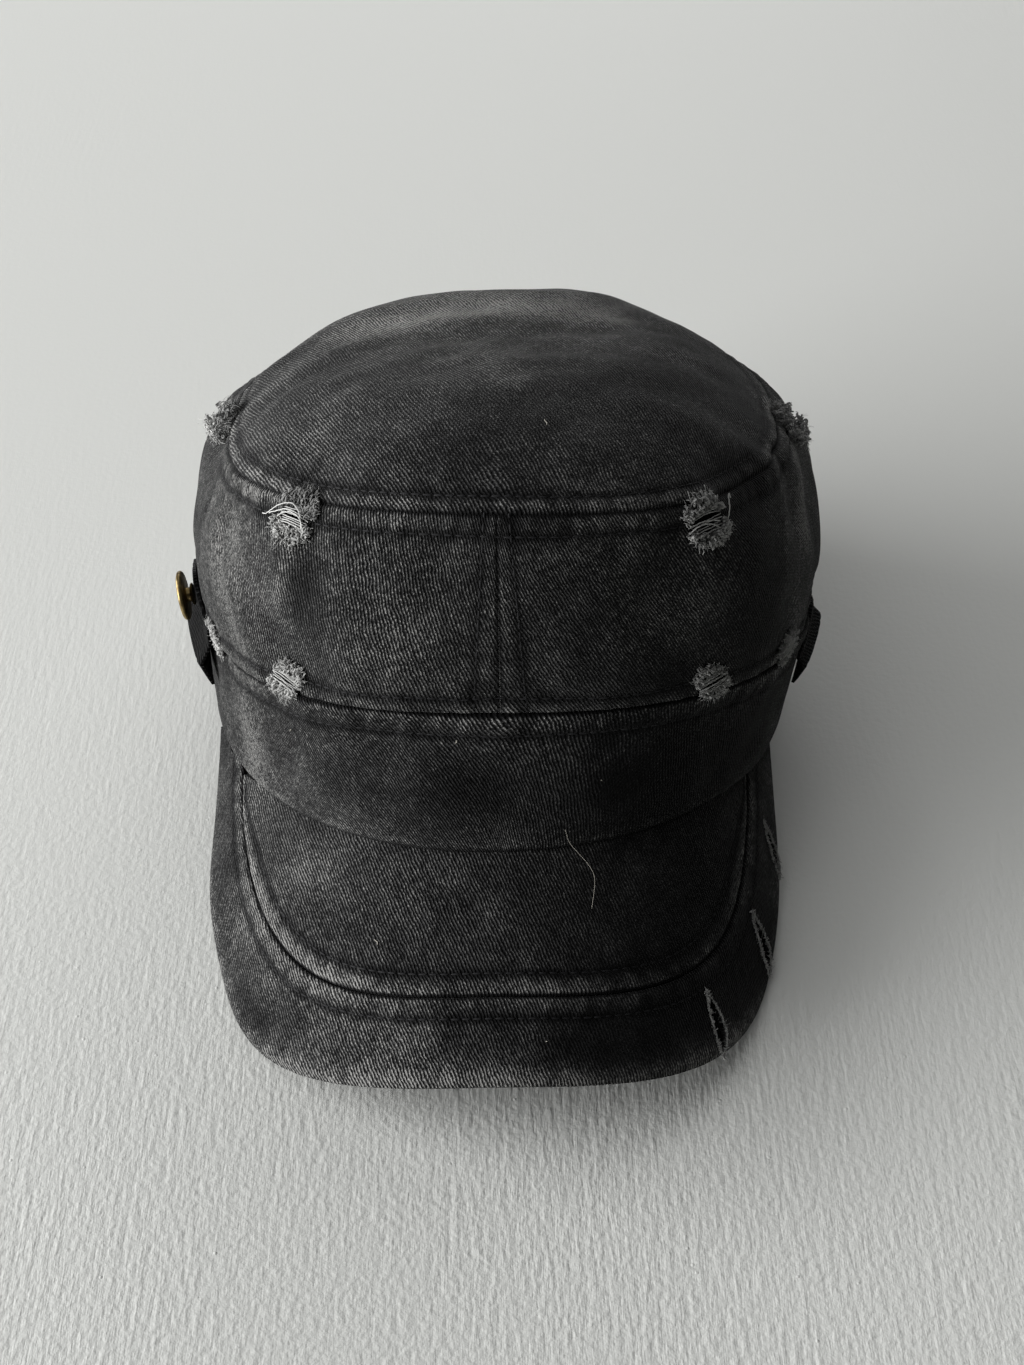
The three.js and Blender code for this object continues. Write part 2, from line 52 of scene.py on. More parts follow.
# The crown is swept between three rounded ovals, each with small waves round it.
RINGS = {
    "rim": dict(half_width=84.5, half_length=102.5, square=2.08, centre=0, egg=0.14, three=-0.5,
                four=-0.6, skew=-1.2, skew3=0, shift=0),
    "seam": dict(half_width=86.5, half_length=98.5, square=2.7, centre=13.5, egg=0, three=2.8,
                 four=0, skew=1.8, skew3=-1.0, shift=0.7, height=56.5, tilt=22, saddle=3.75, wave=0.7),
    "top": dict(half_width=75.5, half_length=90, square=2.15, centre=8.7, egg=0, three=0.4,
                four=-1.6, skew=0.5, skew3=0.5, shift=1.8, height=107, tilt=29, saddle=3.5, wave=-1.1),
}
# Folds and dents of the soft crown: from, to, how wide each works, and how far it goes out.
FOLDS = [
    ("corner crease left", (-65, -36, 120), (-50, -60, 130), 5, 1.2),
    ("hollow over left tear", (-46, -52, 134), (-40, -58, 136), 10, -2.4),
    ("rub below left tear", (-51, -66, 120), (-54, -69, 105), 6, 1.3),
    ("fold left", (-77, 8, 98), (-77, -16, 99), 8, -2.6),
    ("corner dent right", (62, -50, 124), (58, -56, 127), 10, -3.6),
    ("fold right", (73, -26, 113), (78, -35, 100), 7, -2.2),
    ("belly back right", (80, 40, 84), (81, 16, 88), 15, 3.0),
    ("belly back left", (-80, 44, 80), (-80, 30, 84), 14, 1.6),
    ("dent in band", (-10, -93, 71), (2, -98, 60), 8, -1.5),
    ("dent left of front", (-57, -68, 96), (-52, -72, 90), 11, -2.0),
    ("dent right of front", (40, -82, 112), (46, -77, 98), 13, -1.6),
    ("swell of the front", (-20, -86, 112), (14, -88, 106), 16, 0.9),
    ("sag of the top", (-30, 10, 131), (26, 30, 126), 24, -1.6),
    ("fold back", (-30, 106, 70), (34, 108, 58), 12, -2.4),
    ("fold back left", (-66, 84, 74), (-56, 92, 40), 9, -1.8),
]
# Paler and darker places on the cloth: from, to, how wide, how much paler. Some are wash fading and wear.
# Most are painted light and shade: the left side, where the window lights it, is painted paler; the right
# side, the top, the front of the band and the hollows are painted darker as shade; painted shadows lie
# beside the folds and creases; the ridges and folds carry painted highlights, and the back rim and the
# shoulders carry painted sheen.
LIGHT_SHADE_AND_WASH = [
    ("under the top seam", (-14, -79, 136), (10, -79, 136), 7, -0.4),
    ("front of the band", (-12, -96, 63), (26, -92, 60), 10, -0.6),
    ("band left of the front", (-38, -88, 63), (-28, -91, 63), 7, -0.35),
    ("above the band seam", (-4, -88, 88), (16, -87, 88), 6, -0.3),
    ("right of the centre seam", (17, -86, 115), (20, -86, 105), 9, -0.35),
    ("low on the right wall", (36, -82, 84), (62, -66, 86), 12, -0.5),
    ("right wall", (68, -62, 114), (69, -60, 88), 10, -0.6),
    ("beside the right tear", (60, -54, 128), (68, -42, 125), 8, -1.1),
    ("right of the left tear", (-33, -73, 134), (-24, -76, 135), 6, 0.4),
    ("across the top", (-2, -62, 145), (60, -6, 122), 15, -0.45),
    ("hollow of the left wall", (-47, -74, 111), (-44, -75, 106), 7, -0.6),
    ("over the left tear", (-50, -57, 133), (-34, -69, 137), 5, -0.4),
    ("right of the peak", (48, -92, 34), (44, -116, 34), 22, -0.35),
    ("right of the border", (26, -146, 26), (72, -104, 8), 15, -0.75),
    ("right of the band", (44, -84, 56), (68, -62, 50), 14, -0.65),
    ("left of the peak", (-26, -104, 43), (-44, -102, 38), 18, 0.3),
    ("left of the border", (-70, -92, 14), (-30, -146, 26), 13, 0.62),
    ("left of the front", (-22, -83, 124), (-26, -84, 104), 12, 0.38),
    ("far left wall", (-71, -44, 112), (-67, -58, 70), 9, 0.3),
    ("far left of the band", (-67, -58, 52), (-65, -61, 34), 10, 0.75),
    ("fold from the left tear", (-49, -68, 121), (-54, -69, 105), 1.7, 0.7),
    ("shadow of that fold", (-44, -71, 118), (-49, -73, 104), 3.2, -0.35),
    ("ridge over the left tear", (-64, -46, 122), (-50, -60, 131), 1.8, 0.5),
    ("valley under that ridge", (-65, -50, 117), (-55, -60, 124), 2.6, -0.5),
    ("crease of the left wall", (-74, -36, 112), (-68, -54, 84), 1.6, 0.4),
    ("shadow of that crease", (-71, -42, 112), (-65, -57, 86), 2.6, -0.3),
    ("crease of the right wall", (75, -42, 112), (70, -54, 92), 1.5, 0.4),
    ("back rim of the top", (-36, 32, 121), (30, 42, 117), 11, 1.5),
    ("right shoulder", (74, 8, 106), (80, -30, 94), 5, 1.0),
    ("left shoulder", (-70, -8, 112), (-58, 14, 116), 6, 0.35),
    ("left of the top", (-37, -42, 139), (-54, -26, 132), 12, -0.15),
]
# The peak is cut from a cylinder that leans forward, as a flat pattern laid on it.
PEAK = dict(radius=83.9, slope=math.radians(23), crown=48.4, shift=-2.3, length=58.4, half_arc=104,
            widest=-61, square=2.7, border=22, corner_left=3.1, corner_right=0.2, tuck=7,
            back_drop=49, back_power=1.85)
# The rim lies flat on the floor at the back, and rises towards the front.
REST = dict(flat_from=72, fade=9, slope=0.209, soften=3)
SEAM_GAP = 0.3
INNER_SHADE = -0.5     # the wear of the cloth's wrong side, which is unfaded
BAND = dict(height=38, cloth=2.2, stitch=5.9, hem=0.8)


def power(v, n):
    """A sine or cosine bent so that an oval made from it is squarer the larger n is."""
    return np.sign(v) * np.abs(v) ** (2 / n)


def blend(a, b, share):
    """Places on the way from a, at a share of 0, to b, at 1."""
    return a + (b - a) * np.asarray(share)[..., None]


def unit(v):
    return v / np.maximum(np.linalg.norm(v, axis=-1, keepdims=True), 1e-9)


def cos_sin(degrees):
    return math.cos(math.radians(degrees)), math.sin(math.radians(degrees))


def bell(gap, width):
    """1 at a line, and nearly 0 from two widths away."""
    return np.exp(-((gap / width) ** 2))


def clamp(share):
    return np.clip(share, 0, 1)


def lengths(line):
    """How far along a line each of its points lies."""
    return np.concatenate([[0], np.cumsum(np.linalg.norm(np.diff(line, axis=0), axis=-1))])


def peak_height(x, y, off):
    """How high the peak's face, moved out by a distance, passes over a place."""
    r = PEAK["radius"] + off
    across = np.minimum(np.abs(x - PEAK["shift"]), r * 0.985)
    arch = np.sqrt(r * r - across * across) - PEAK["radius"]
    fall = (RINGS["rim"]["half_length"] + y) * math.tan(PEAK["slope"])
    return PEAK["crown"] + fall + arch / math.cos(PEAK["slope"])


def rim_height(x, y, angle):
    """How high the rim stands, which rides on the peak in front."""
    lift = (REST["flat_from"] - y) * REST["slope"]
    flat = clamp((y - REST["flat_from"]) / REST["fade"])
    plain = 0.5 * (lift + np.hypot(lift, REST["soften"])) * (1 - flat)
    front = clamp((90 - np.abs(np.degrees(angle))) / 12)
    over = peak_height(x, y, SEAM_GAP * 2) - plain
    return plain + front * 0.5 * (over + np.hypot(over, 4 * SEAM_GAP))


def ring(name, angle, inset=0):
    """Places on one of the rings, moved in by a distance."""
    r = RINGS[name]
    c, s = np.cos(angle), np.sin(angle)
    wander = (r["three"] * np.cos(3 * angle) + r["four"] * np.cos(4 * angle)
              + r["skew"] * np.sin(2 * angle) + r["skew3"] * np.sin(3 * angle) + r["shift"] * s)
    out = wander - inset - (r["three"] + r["four"] if name == "rim" else 0)
    x = r["half_width"] * power(s, r["square"]) * (1 - r["egg"] * c) + out * s
    y = r["centre"] - r["half_length"] * power(c, r["square"]) - out * c
    if name == "rim":
        z = rim_height(x, y, angle)
    else:
        z = (r["height"] + r["tilt"] * c + r["saddle"] * np.cos(2 * angle)
             + r["wave"] * np.cos(3 * angle))
    return np.stack([x, y, z], axis=-1)


def round_lines(points, lines):
    """The sum of the lines' amounts, each fading with the distance from its line."""
    total = np.zeros(points.shape[:-1])
    for _, start, end, width, amount in lines:
        run = np.subtract(end, start)
        along = clamp((points - start) @ run / (run @ run))
        gap = np.linalg.norm(points - start - along[..., None] * run, axis=-1)
        total += amount * bell(gap, width)
    return total


def facing(points):
    """The way out of the head at points on the crown."""
    return unit(points - HEAD)


def folded(points, share=1.0):
    """Points on the crown, moved out and in by its folds."""
    out = round_lines(points, FOLDS) * share
    return points + out[..., None] * facing(points)


def band_surface(angle, s):
    """Places on the head band, s from 0 at the rim to 1 at the seam."""
    return folded(blend(ring("rim", angle), ring("seam", angle), s), clamp(s / 0.06))


def spread(length, lines, fine=0.4, coarse=1.5):
    """Places along a length, closer together near each of the lines."""
    places = [0.0]
    while places[-1] < length:
        near = min(abs(places[-1] - line) for line in lines)
        places.append(places[-1] + np.interp(near, [1.4, 5], [fine, coarse]))
    return np.array(places) * length / places[-1]


def ripple(along, period, seed):
    """An uneven wave along a line, from about -1 to 1."""
    random = np.random.default_rng(seed)
    total = np.zeros(np.shape(along))
    for stretch in (0.62, 0.87, 1.0, 1.31, 1.9):
        length = period * stretch * random.uniform(0.93, 1.07)
        total = total + np.sin(math.tau * along / length + random.uniform(0, math.tau))
    return total / 2.4


# The sewn edge of a panel, in millimetres. The cloth rolls down into the seam, steps up over
# the allowance, sinks under the stitches, and puckers in between.
EDGE = dict(roll=0.8, roll_wide=0.55, allowance=0.32, past_stitch=0.5, step_wide=0.35, groove=0.42,
            groove_wide=0.8, slant=0.3, pucker=0.2, pucker_every=7.5, drag=0.1, drag_every=12)
# Where it rubs pale, and where shade is painted dark into the seam's groove and under the stitch rows.
RUB_AND_SHADE = dict(patch_every=11, break_every=3.5, ridge=0.75, soft=0.5, soft_at=2.2, soft_wide=1.5,
           seam=1.6, seam_wide=0.4, stitch_wide=1.1)


def sewn_edge(gap, along, stitch, seed, depth=1.0, rub=0.5, wide=0.65):
    """Height of cloth beside a seam, and its wear with painted light and shade: a pale rubbed ridge,
    puckers painted lighter and darker with their relief, and painted shade in the seam's groove and under
    the stitches. Gap is the distance from the seam, and the allowance under the cloth reaches a little past
    the row of topstitching."""
    slanted = along + EDGE["slant"] * gap
    past = np.clip((gap - stitch - EDGE["past_stitch"]) / EDGE["step_wide"], -30, 30)
    pull = bell(gap - 0.55 * stitch, 0.55 * stitch)
    pucker = EDGE["pucker"] * ripple(slanted, EDGE["pucker_every"], seed) * pull
    drag = EDGE["drag"] * ripple(slanted, EDGE["drag_every"], seed + 1) * bell(gap - stitch - 2, 5)
    roll = EDGE["roll"] * bell(gap, EDGE["roll_wide"])
    sunk = roll + EDGE["groove"] * bell(gap - stitch, EDGE["groove_wide"])
    height = depth * (EDGE["allowance"] / (1 + np.exp(past)) - sunk + pucker + drag)
    patches = ripple(along + 0.8 * gap, RUB_AND_SHADE["patch_every"], seed + 2)
    broken = np.clip(0.6 + 0.4 * patches + 0.25 * ripple(along, RUB_AND_SHADE["break_every"], seed + 3), 0, 1.4)
    ridge = RUB_AND_SHADE["ridge"] * rub * broken * bell(gap - 1.5 * wide, wide)
    soft = RUB_AND_SHADE["soft"] * rub * bell(gap - RUB_AND_SHADE["soft_at"], RUB_AND_SHADE["soft_wide"])
    # Painted shade along the stitch rows, where the cloth sinks under the stitches.
    groove_shade = (0.8 + 0.25 * patches) * bell(gap - stitch, RUB_AND_SHADE["stitch_wide"])
    # The puckers and drag are also painted lighter and darker with their relief, and the seam line is
    # painted dark as shade in its groove.
    return height, ridge + soft + pucker + drag - RUB_AND_SHADE["seam"] * bell(gap, RUB_AND_SHADE["seam_wide"]) - groove_shade


def uneven(points, seed, sizes=((46, 0.5), (27, 0.35), (15, 0.2))):
    """Soft unevenness of washed cloth in millimetres, from waves in many directions."""
    random = np.random.default_rng(seed)
    total = np.zeros(points.shape[:-1])
    for size, height in sizes:
        for _ in range(7):
            way = unit(random.normal(size=3)) * math.tau / (size * random.uniform(0.8, 1.25))
            total += height * np.sin(points @ way + random.uniform(0, math.tau)) / 2.6
    return total


def normals(grid):
    """The ways square to a grid, out of the head."""
    n = unit(np.cross(np.gradient(grid, axis=0), np.gradient(grid, axis=1)))
    return n if np.sum(n * (grid - HEAD)) > 0 else -n


def wale_places(across, up, lean):
    """Places on flat cloth, turned so that the first number runs across the twill's wales."""
    c, s = cos_sin(lean)
    return np.stack([across * s + up * c, across * c - up * s, np.zeros_like(across)], axis=-1)


def placed(name, data):
    """A new object of the scene, for a mesh, a light or a camera."""
    made = bpy.data.objects.new(name, data)
    bpy.context.scene.collection.objects.link(made)
    return made


def rounded_piece(mesh, sharpest):
    """A smoothly shaded piece of the cap, but for edges over an angle in degrees."""
    mesh.shade_smooth()
    mesh.set_sharp_from_angle(angle=math.radians(sharpest))
    return placed(mesh.name, mesh)


def shell(name, outer, inner, weave, worn, keep=None):
    """A closed wall between an outer and an inner grid, without the cells that aren't kept."""
    n, m = outer.shape[:2]
    outward = np.cross(np.gradient(outer, axis=0), np.gradient(outer, axis=1))
    index = np.arange(n * m).reshape(n, m)
    cells = np.stack([index[:-1, :-1], index[1:, :-1], index[1:, 1:], index[:-1, 1:]], axis=-1)
    cells = cells.reshape(-1, 4) if keep is None else cells[keep]
    if np.sum(outward * (outer - inner)) < 0:
        cells = cells[:, ::-1]
    edges = np.concatenate([np.stack([cells[:, k], cells[:, (k + 1) % 4]], axis=-1) for k in range(4)])
    there, back = edges @ [n * m, 1], edges @ [1, n * m]
    rim = edges[~np.isin(there, back)]
    walls = np.stack([rim[:, 1], rim[:, 0], rim[:, 0] + n * m, rim[:, 1] + n * m], axis=-1)
    faces = np.concatenate([cells, cells[:, ::-1] + n * m, walls])
    used, faces = np.unique(faces, return_inverse=True)
    points = np.concatenate([outer.reshape(-1, 3), inner.reshape(-1, 3)])[used]
    mesh = bpy.data.meshes.new(name)
    mesh.from_pydata((points - CAP_MIDDLE) * MM, [], faces.reshape(-1, 4).tolist())
    layers = np.concatenate([weave.reshape(-1, 3)] * 2)[used]
    mesh.attributes.new("weave", "FLOAT_VECTOR", "POINT").data.foreach_set("vector", layers.ravel())
    # The worn attribute carries wear and wash fading together with painted light and shade: painted
    # highlights, painted shade in seams and hollows, a left side painted paler and a right side painted
    # darker.
    wear = np.concatenate([worn.ravel(), np.full(n * m, INNER_SHADE)])[used]
    mesh.attributes.new("worn", "FLOAT", "POINT").data.foreach_set("value", wear)
    return rounded_piece(mesh, 60)


def put(tree, kind, inputs=None, **settings):
    """Adds a node to a tree, with its settings, and fills or links its inputs."""
    made = tree.nodes.new(kind)
    for key, value in settings.items():
        setattr(made, key, value)
    for socket, value in (inputs or {}).items():
        if isinstance(value, bpy.types.NodeSocket):
            tree.links.new(value, made.inputs[socket])
        else:
            made.inputs[socket].default_value = value
    return made


def calc(tree, operation, *values):
    return put(tree, "ShaderNodeMath", dict(enumerate(values)), operation=operation).outputs[0]


def scaled(tree, value, by, plus):
    """A value times another, plus a third."""
    return calc(tree, "MULTIPLY_ADD", value, by, plus)


def noise(tree, place, scale, detail=2.0, rough=0.5):
    inputs = {"Vector": place, "Scale": scale, "Detail": detail, "Roughness": rough}
    return put(tree, "ShaderNodeTexNoise", inputs).outputs["Fac"]


def ramp(tree, share, stops):
    """A colour that runs through the stops, each a place from 0 to 1 and its colour."""
    node = put(tree, "ShaderNodeValToRGB", {"Fac": share})
    points = node.color_ramp.elements
    while len(points) < len(stops):
        points.new(0.5)
    for point, (at, colour) in zip(points, stops):
        point.position = at
        point.color = (*colour, 1)
    return node.outputs["Color"]


def new_surface(name):
    """A material, its tree, and places on the piece in metres."""
    material = bpy.data.materials.new(name)
    material.use_nodes = True
    tree = material.node_tree
    return material, tree, put(tree, "ShaderNodeTexCoord").outputs["Object"]


def finish_surface(tree, colour, height, deep, strength=1.0, **values):
    """Joins a colour and a bump, so deep in metres, to the shader, and sets its plain values."""
    shader = tree.nodes["Principled BSDF"]
    bump = put(tree, "ShaderNodeBump", {"Height": height, "Distance": deep, "Strength": strength})
    tree.links.new(bump.outputs["Normal"], shader.inputs["Normal"])
    if isinstance(colour, bpy.types.NodeSocket):
        tree.links.new(colour, shader.inputs["Base Color"])
    else:
        shader.inputs["Base Color"].default_value = (*colour, 1)
    for name, value in values.items():
        shader.inputs[name.replace("_", " ")].default_value = value


def node_group(name, kind, inputs, outputs):
    """A tree of nodes, and the sockets of what it is given and of what it makes."""
    tree = bpy.data.node_groups.new(name, kind)
    for way, sockets in (("INPUT", inputs), ("OUTPUT", outputs)):
        for label, value in sockets.items():
            tree.interface.new_socket(label, in_out=way, socket_type=f"NodeSocket{value}")
    return tree, put(tree, "NodeGroupInput").outputs, put(tree, "NodeGroupOutput").inputs


def twill_group():
    """Slanting wales of cotton twill on places in millimetres: their light and their relief."""
    tree, given, result = node_group("twill_wales", "ShaderNodeTree", {
        "Weave": "Vector", "Wale": "Float"}, {"Tone": "Float", "Relief": "Float"})
    place = put(tree, "ShaderNodeSeparateXYZ", {"Vector": given["Weave"]}).outputs
    # The wales wander by up to 0.7 mm and shake by up to 0.18 mm.
    drift = scaled(tree, noise(tree, given["Weave"], 0.16), 1.4, -0.7)
    shaky = scaled(tree, noise(tree, given["Weave"], 1.0, 0.0), 0.36, -0.18)
    across = calc(tree, "ADD", calc(tree, "ADD", place["X"], drift), shaky)
    turn = calc(tree, "DIVIDE", across, given["Wale"])
    wale = calc(tree, "COSINE", calc(tree, "MULTIPLY", turn, math.tau))
    # Along each wale the yarn dips every 1.15 mm, a little further on than on its neighbour.
    run = calc(tree, "DIVIDE", place["Y"], 1.15)
    step = scaled(tree, calc(tree, "ROUND", turn), 0.37, run)
    crossing = calc(tree, "SINE", calc(tree, "MULTIPLY", step, math.tau))
    grit = noise(tree, given["Weave"], 1.75, 1.0, 0.6)
    slubs = noise(tree, given["Weave"], 0.6, 2.0, 0.6)
    patchy = noise(tree, given["Weave"], 0.3, 1.0, 0.5)
    crossed = calc(tree, "MULTIPLY", wale, crossing)
    relief = scaled(tree, crossed, 0.2, calc(tree, "MULTIPLY", wale, 0.45))
    strength = scaled(tree, patchy, 1.0, 0.6)
    tone = calc(tree, "MULTIPLY", relief, strength)
    tone = scaled(tree, calc(tree, "ADD", grit, -0.5), 2.0, tone)
    tone = scaled(tree, calc(tree, "ADD", slubs, -0.5), 1.6, tone)
    tree.links.new(tone, result["Tone"])
    tree.links.new(scaled(tree, grit, 0.8, relief), result["Relief"])
    return tree


def wash_group():
    """Uneven fading of garment-washed cloth, on places in metres."""
    tree, given, result = node_group(
        "wash_fading", "ShaderNodeTree", {"Place": "Vector"}, {"Fade": "Float"})
    broad = noise(tree, given["Place"], 24.0, 2.0)
    cloudy = noise(tree, given["Place"], 85.0, 4.0, 0.62)
    fine = noise(tree, given["Place"], 330.0, 2.0, 0.6)
    mixed = scaled(tree, cloudy, 0.9, calc(tree, "MULTIPLY", broad, 0.9))
    mixed = scaled(tree, fine, 0.35, mixed)
    tree.links.new(calc(tree, "ADD", mixed, -1.075), result["Fade"])
    return tree


TWILL_WALES = twill_group()
WASH_FADING = wash_group()
DYE = [(0.0, (0.0020, 0.0020, 0.0021)), (0.25, (0.0090, 0.0090, 0.0093)), (0.45, (0.027, 0.027, 0.0272)),
       (0.65, (0.072, 0.072, 0.071)), (0.82, (0.135, 0.135, 0.131)), (1.0, (0.27, 0.267, 0.258))]


def washed_twill(name, level, weave_contrast=0.43, wale=0.82, fade_contrast=0.7, wear=0.34):
    """Charcoal twill: dark dye in the weave's hollows, paler on its wales and where it rubs, and lighter or
    darker where the worn attribute carries painted light and shade.
    """
    material, tree, place = new_surface(name)
    cloth = put(tree, "ShaderNodeAttribute", attribute_name="weave").outputs["Vector"]
    worn = put(tree, "ShaderNodeAttribute", attribute_name="worn").outputs["Fac"]
    wales = put(tree, "ShaderNodeGroup", {"Weave": cloth, "Wale": wale}, node_tree=TWILL_WALES).outputs
    fading = put(tree, "ShaderNodeGroup", {"Place": place}, node_tree=WASH_FADING).outputs
    rubbed = calc(tree, "MULTIPLY", worn, scaled(tree, wales["Tone"], 0.8, 1.0))
    shade = scaled(tree, wales["Tone"], weave_contrast, level)
    shade = scaled(tree, fading["Fade"], fade_contrast, shade)
    shade = scaled(tree, rubbed, wear, shade)
    finish_surface(tree, ramp(tree, shade, DYE), wales["Relief"], 0.00035, Roughness=0.9,
                   Specular_IOR_Level=0.08, Sheen_Weight=0.08, Sheen_Roughness=0.4)
    return material


CROWN_ROWS = []


def row_at(grid, distances, distance):
    """The row of a grid that lies nearest to a distance, along its second axis."""
    return grid[:, np.argmin(np.abs(distances - distance))]


def cloth_sides(base, lift, cloth, gap):
    """The outer and inner side of cloth on a grid, which thins towards its edge."""
    n = normals(base)
    return base + n * lift[..., None], base - n * (cloth * clamp(0.55 + gap / 5))[..., None]


def make_band():
    angles = np.radians(np.linspace(-180, 180, 541))
    rows = spread(BAND["height"], (0, BAND["height"] - BAND["stitch"], BAND["height"]))
    angle, row = np.meshgrid(angles, rows, indexing="ij")
    base = band_surface(angle, row / BAND["height"])
    along = lengths(band_surface(angles, np.full_like(angles, 0.5)))
    half = along[-1] / 2
    along = np.broadcast_to((along - half)[:, None], row.shape)
    gap = BAND["height"] - row
    height, worn = sewn_edge(gap, along, BAND["stitch"], 11, rub=0.6)
    turned_in = 0.7 * (bell(row, BAND["hem"]) + bell(half - np.abs(along), 0.8))
    lift = height - turned_in + uneven(base, 5) * clamp(row / 9)
    outer, inner = cloth_sides(base, lift, BAND["cloth"], gap)
    inner = blend(ring("rim", angles, BAND["cloth"])[:, None], inner, clamp(row / 4))
    # The hem's fold is rubbed a little paler, and the foot of the band, where it meets the peak and the
    # floor, is painted dark as shade.
    hem = 0.2 * bell(row - 2, 1.2) - 1.1 * bell(row, 0.7)
    # Adds the table's painted light and shade, and its wash fading.
    worn = worn + hem + 0.12 * uneven(base, 6) + round_lines(base, LIGHT_SHADE_AND_WASH)
    CROWN_ROWS.append(row_at(outer, rows, BAND["height"] - BAND["stitch"]))
    return shell("band", outer, inner, wale_places(along, row, 66), worn)


band = make_band()
# The band's twill is set darker than the wall's, as painted shade for the band under the wall's bulge.
band.data.materials.append(washed_twill("washed_twill_band", 0.305, weave_contrast=0.55))
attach(band, "root")
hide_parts("head_band")


# ---- Upper wall ------------------------------------------------------------------------
# Two curved side panels of the same twill, sewn together up the front and the back, to the
# band below and to the top above. Every seam is topstitched in black on both sides, and the
# cloth puckers between the rows. At eight places the seams are worn through.

PANEL_END = 0.006      # how far a side panel stays off the cap's middle line, in degrees
WALL = dict(height=55, cloth=1.6, stitch_low=5.4, stitch_high=4.8, stitch_side=4.85)
BELLY = dict(mean=6.5, front=-3.2)     # how far the wall swells between its seams
DOME = dict(rise=22.9, power=3.6, x=-1.4, y=-2.5)
TOP = dict(radius=80, cloth=1.6, stitch=3.6, ease=0.08, pale_at=62, pale_wide=20)
# Worn-through places: angle, height up the wall, half sizes of the fluff along and up, how
# proud it stands, half sizes of the slit, how far it leans, and how pale each lip is.
TEAR_COLUMNS = ("angle", "up", "along", "high", "proud", "slit", "lean", "pale")
TEAR_ROWS = {
    "top_front_left": (-36.5, 0.92, 6.4, 6.2, 1.6, (3.8, 2.0), -8, (0.5, 1.0)),
    "top_front_right": (36.0, 0.91, 7.2, 5.9, 1.6, (4.8, 2.8), 6, (0.85, 1.0)),
    "top_side_left": (-92.0, 0.94, 6.6, 5.8, 5.4, (3.6, 1.6), 0, (0.5, 0.9)),
    "top_side_right": (89.0, 0.915, 6.6, 6.4, 3.6, (3.6, 1.6), 0, (0.6, 0.8)),
    "band_front_left": (-33.0, 0.085, 5.2, 6.4, 1.1, (4.4, 2.3), -22, (0.85, 0.95)),
    "band_front_right": (31.0, 0.085, 5.0, 5.6, 1.1, (4.4, 2.2), 20, (0.75, 0.95)),
    "band_side_left": (-64.0, 0.05, 5.4, 5.2, 1.1, (4.0, 1.8), -14, (0.9, 0.9)),
    "band_side_right": (55.5, 0.08, 5.8, 5.2, 1.1, (4.4, 1.9), 22, (0.7, 0.75)),
}
TEAR_DEPTH = 12        # how far off the cloth a worn place still counts
TEARS = {place: dict(zip(TEAR_COLUMNS, row)) for place, row in TEAR_ROWS.items()}


def wall_surface(angle, s):
    """Places on the crown's wall, s from 0 at the band seam to 1 at the top seam."""
    p = blend(ring("seam", angle), ring("top", angle), s)
    belly = (BELLY["mean"] + BELLY["front"] * np.cos(angle)) * 4 * s * (1 - s)
    out = np.stack([np.sin(angle) * belly, -np.cos(angle) * belly, np.zeros_like(belly)], axis=-1)
    return folded(p + out)


def top_surface(angle, rho):
    """Places on the top, rho from 0 at its middle to 1 at its seam."""
    edge = RINGS["top"]
    height = edge["height"] - edge["tilt"] * DOME["y"] / edge["half_length"]
    middle = np.array([DOME["x"], edge["centre"] + DOME["y"], height])
    p = blend(middle, ring("top", angle), rho)
    p[..., 2] += DOME["rise"] * (1 - rho ** DOME["power"])
    return folded(p)


def on_crown(angle, up):
    """A place on the crown, up from 0 at the band seam to 1 at the top seam and on past them."""
    over = 1 - (up - 1) * WALL["height"] / TOP["radius"]
    under = 1 + up * WALL["height"] / BAND["height"]
    points = wall_surface(angle, clamp(up))
    points = np.where((up > 1)[..., None], top_surface(angle, clamp(over)), points)
    return np.where((up < 0)[..., None], band_surface(angle, clamp(under)), points)


def crown_ways(angle, up, wide, high):
    """How the crown runs across and upwards at a place, over a short reach each way."""
    across = on_crown(angle + wide, up) - on_crown(angle - wide, up)
    return across, on_crown(angle, up + high) - on_crown(angle, up - high)


def near_tear(points, tear):
    """Distances along, up and off the cloth from a worn place's middle, turned with its lean."""
    angle, up = np.array(math.radians(tear["angle"])), np.array(tear["up"])
    along, rise = (unit(way) for way in crown_ways(angle, up, 0.02, 0.02))
    c, s = cos_sin(tear["lean"])
    away = points - on_crown(angle, up)
    return away @ (along * c + rise * s), away @ (rise * c - along * s), away @ np.cross(along, rise)


def clear_of(points, tear, along, up):
    """Which points lie outside an oval round a worn place, with these half sizes."""
    a, b, off = near_tear(points, tear)
    return (a / along) ** 2 + (b / up) ** 2 + (off / TEAR_DEPTH) ** 2 > 1


def rubbed_round_tears(points):
    total = np.zeros(points.shape[:-1])
    for tear in TEARS.values():
        along, up, off = near_tear(points, tear)
        total += bell(along, 10) * bell(up, 9) * bell(off, 20)
    return total


def away_from_slits(grid):
    """Which cells of a grid stay when the slits of the worn places are cut out."""
    middle = (grid[:-1, :-1] + grid[1:, :-1] + grid[1:, 1:] + grid[:-1, 1:]) / 4
    keep = np.ones(middle.shape[:-1], dtype=bool)
    for tear in TEARS.values():
        keep &= clear_of(middle, tear, *tear["slit"])
    return keep


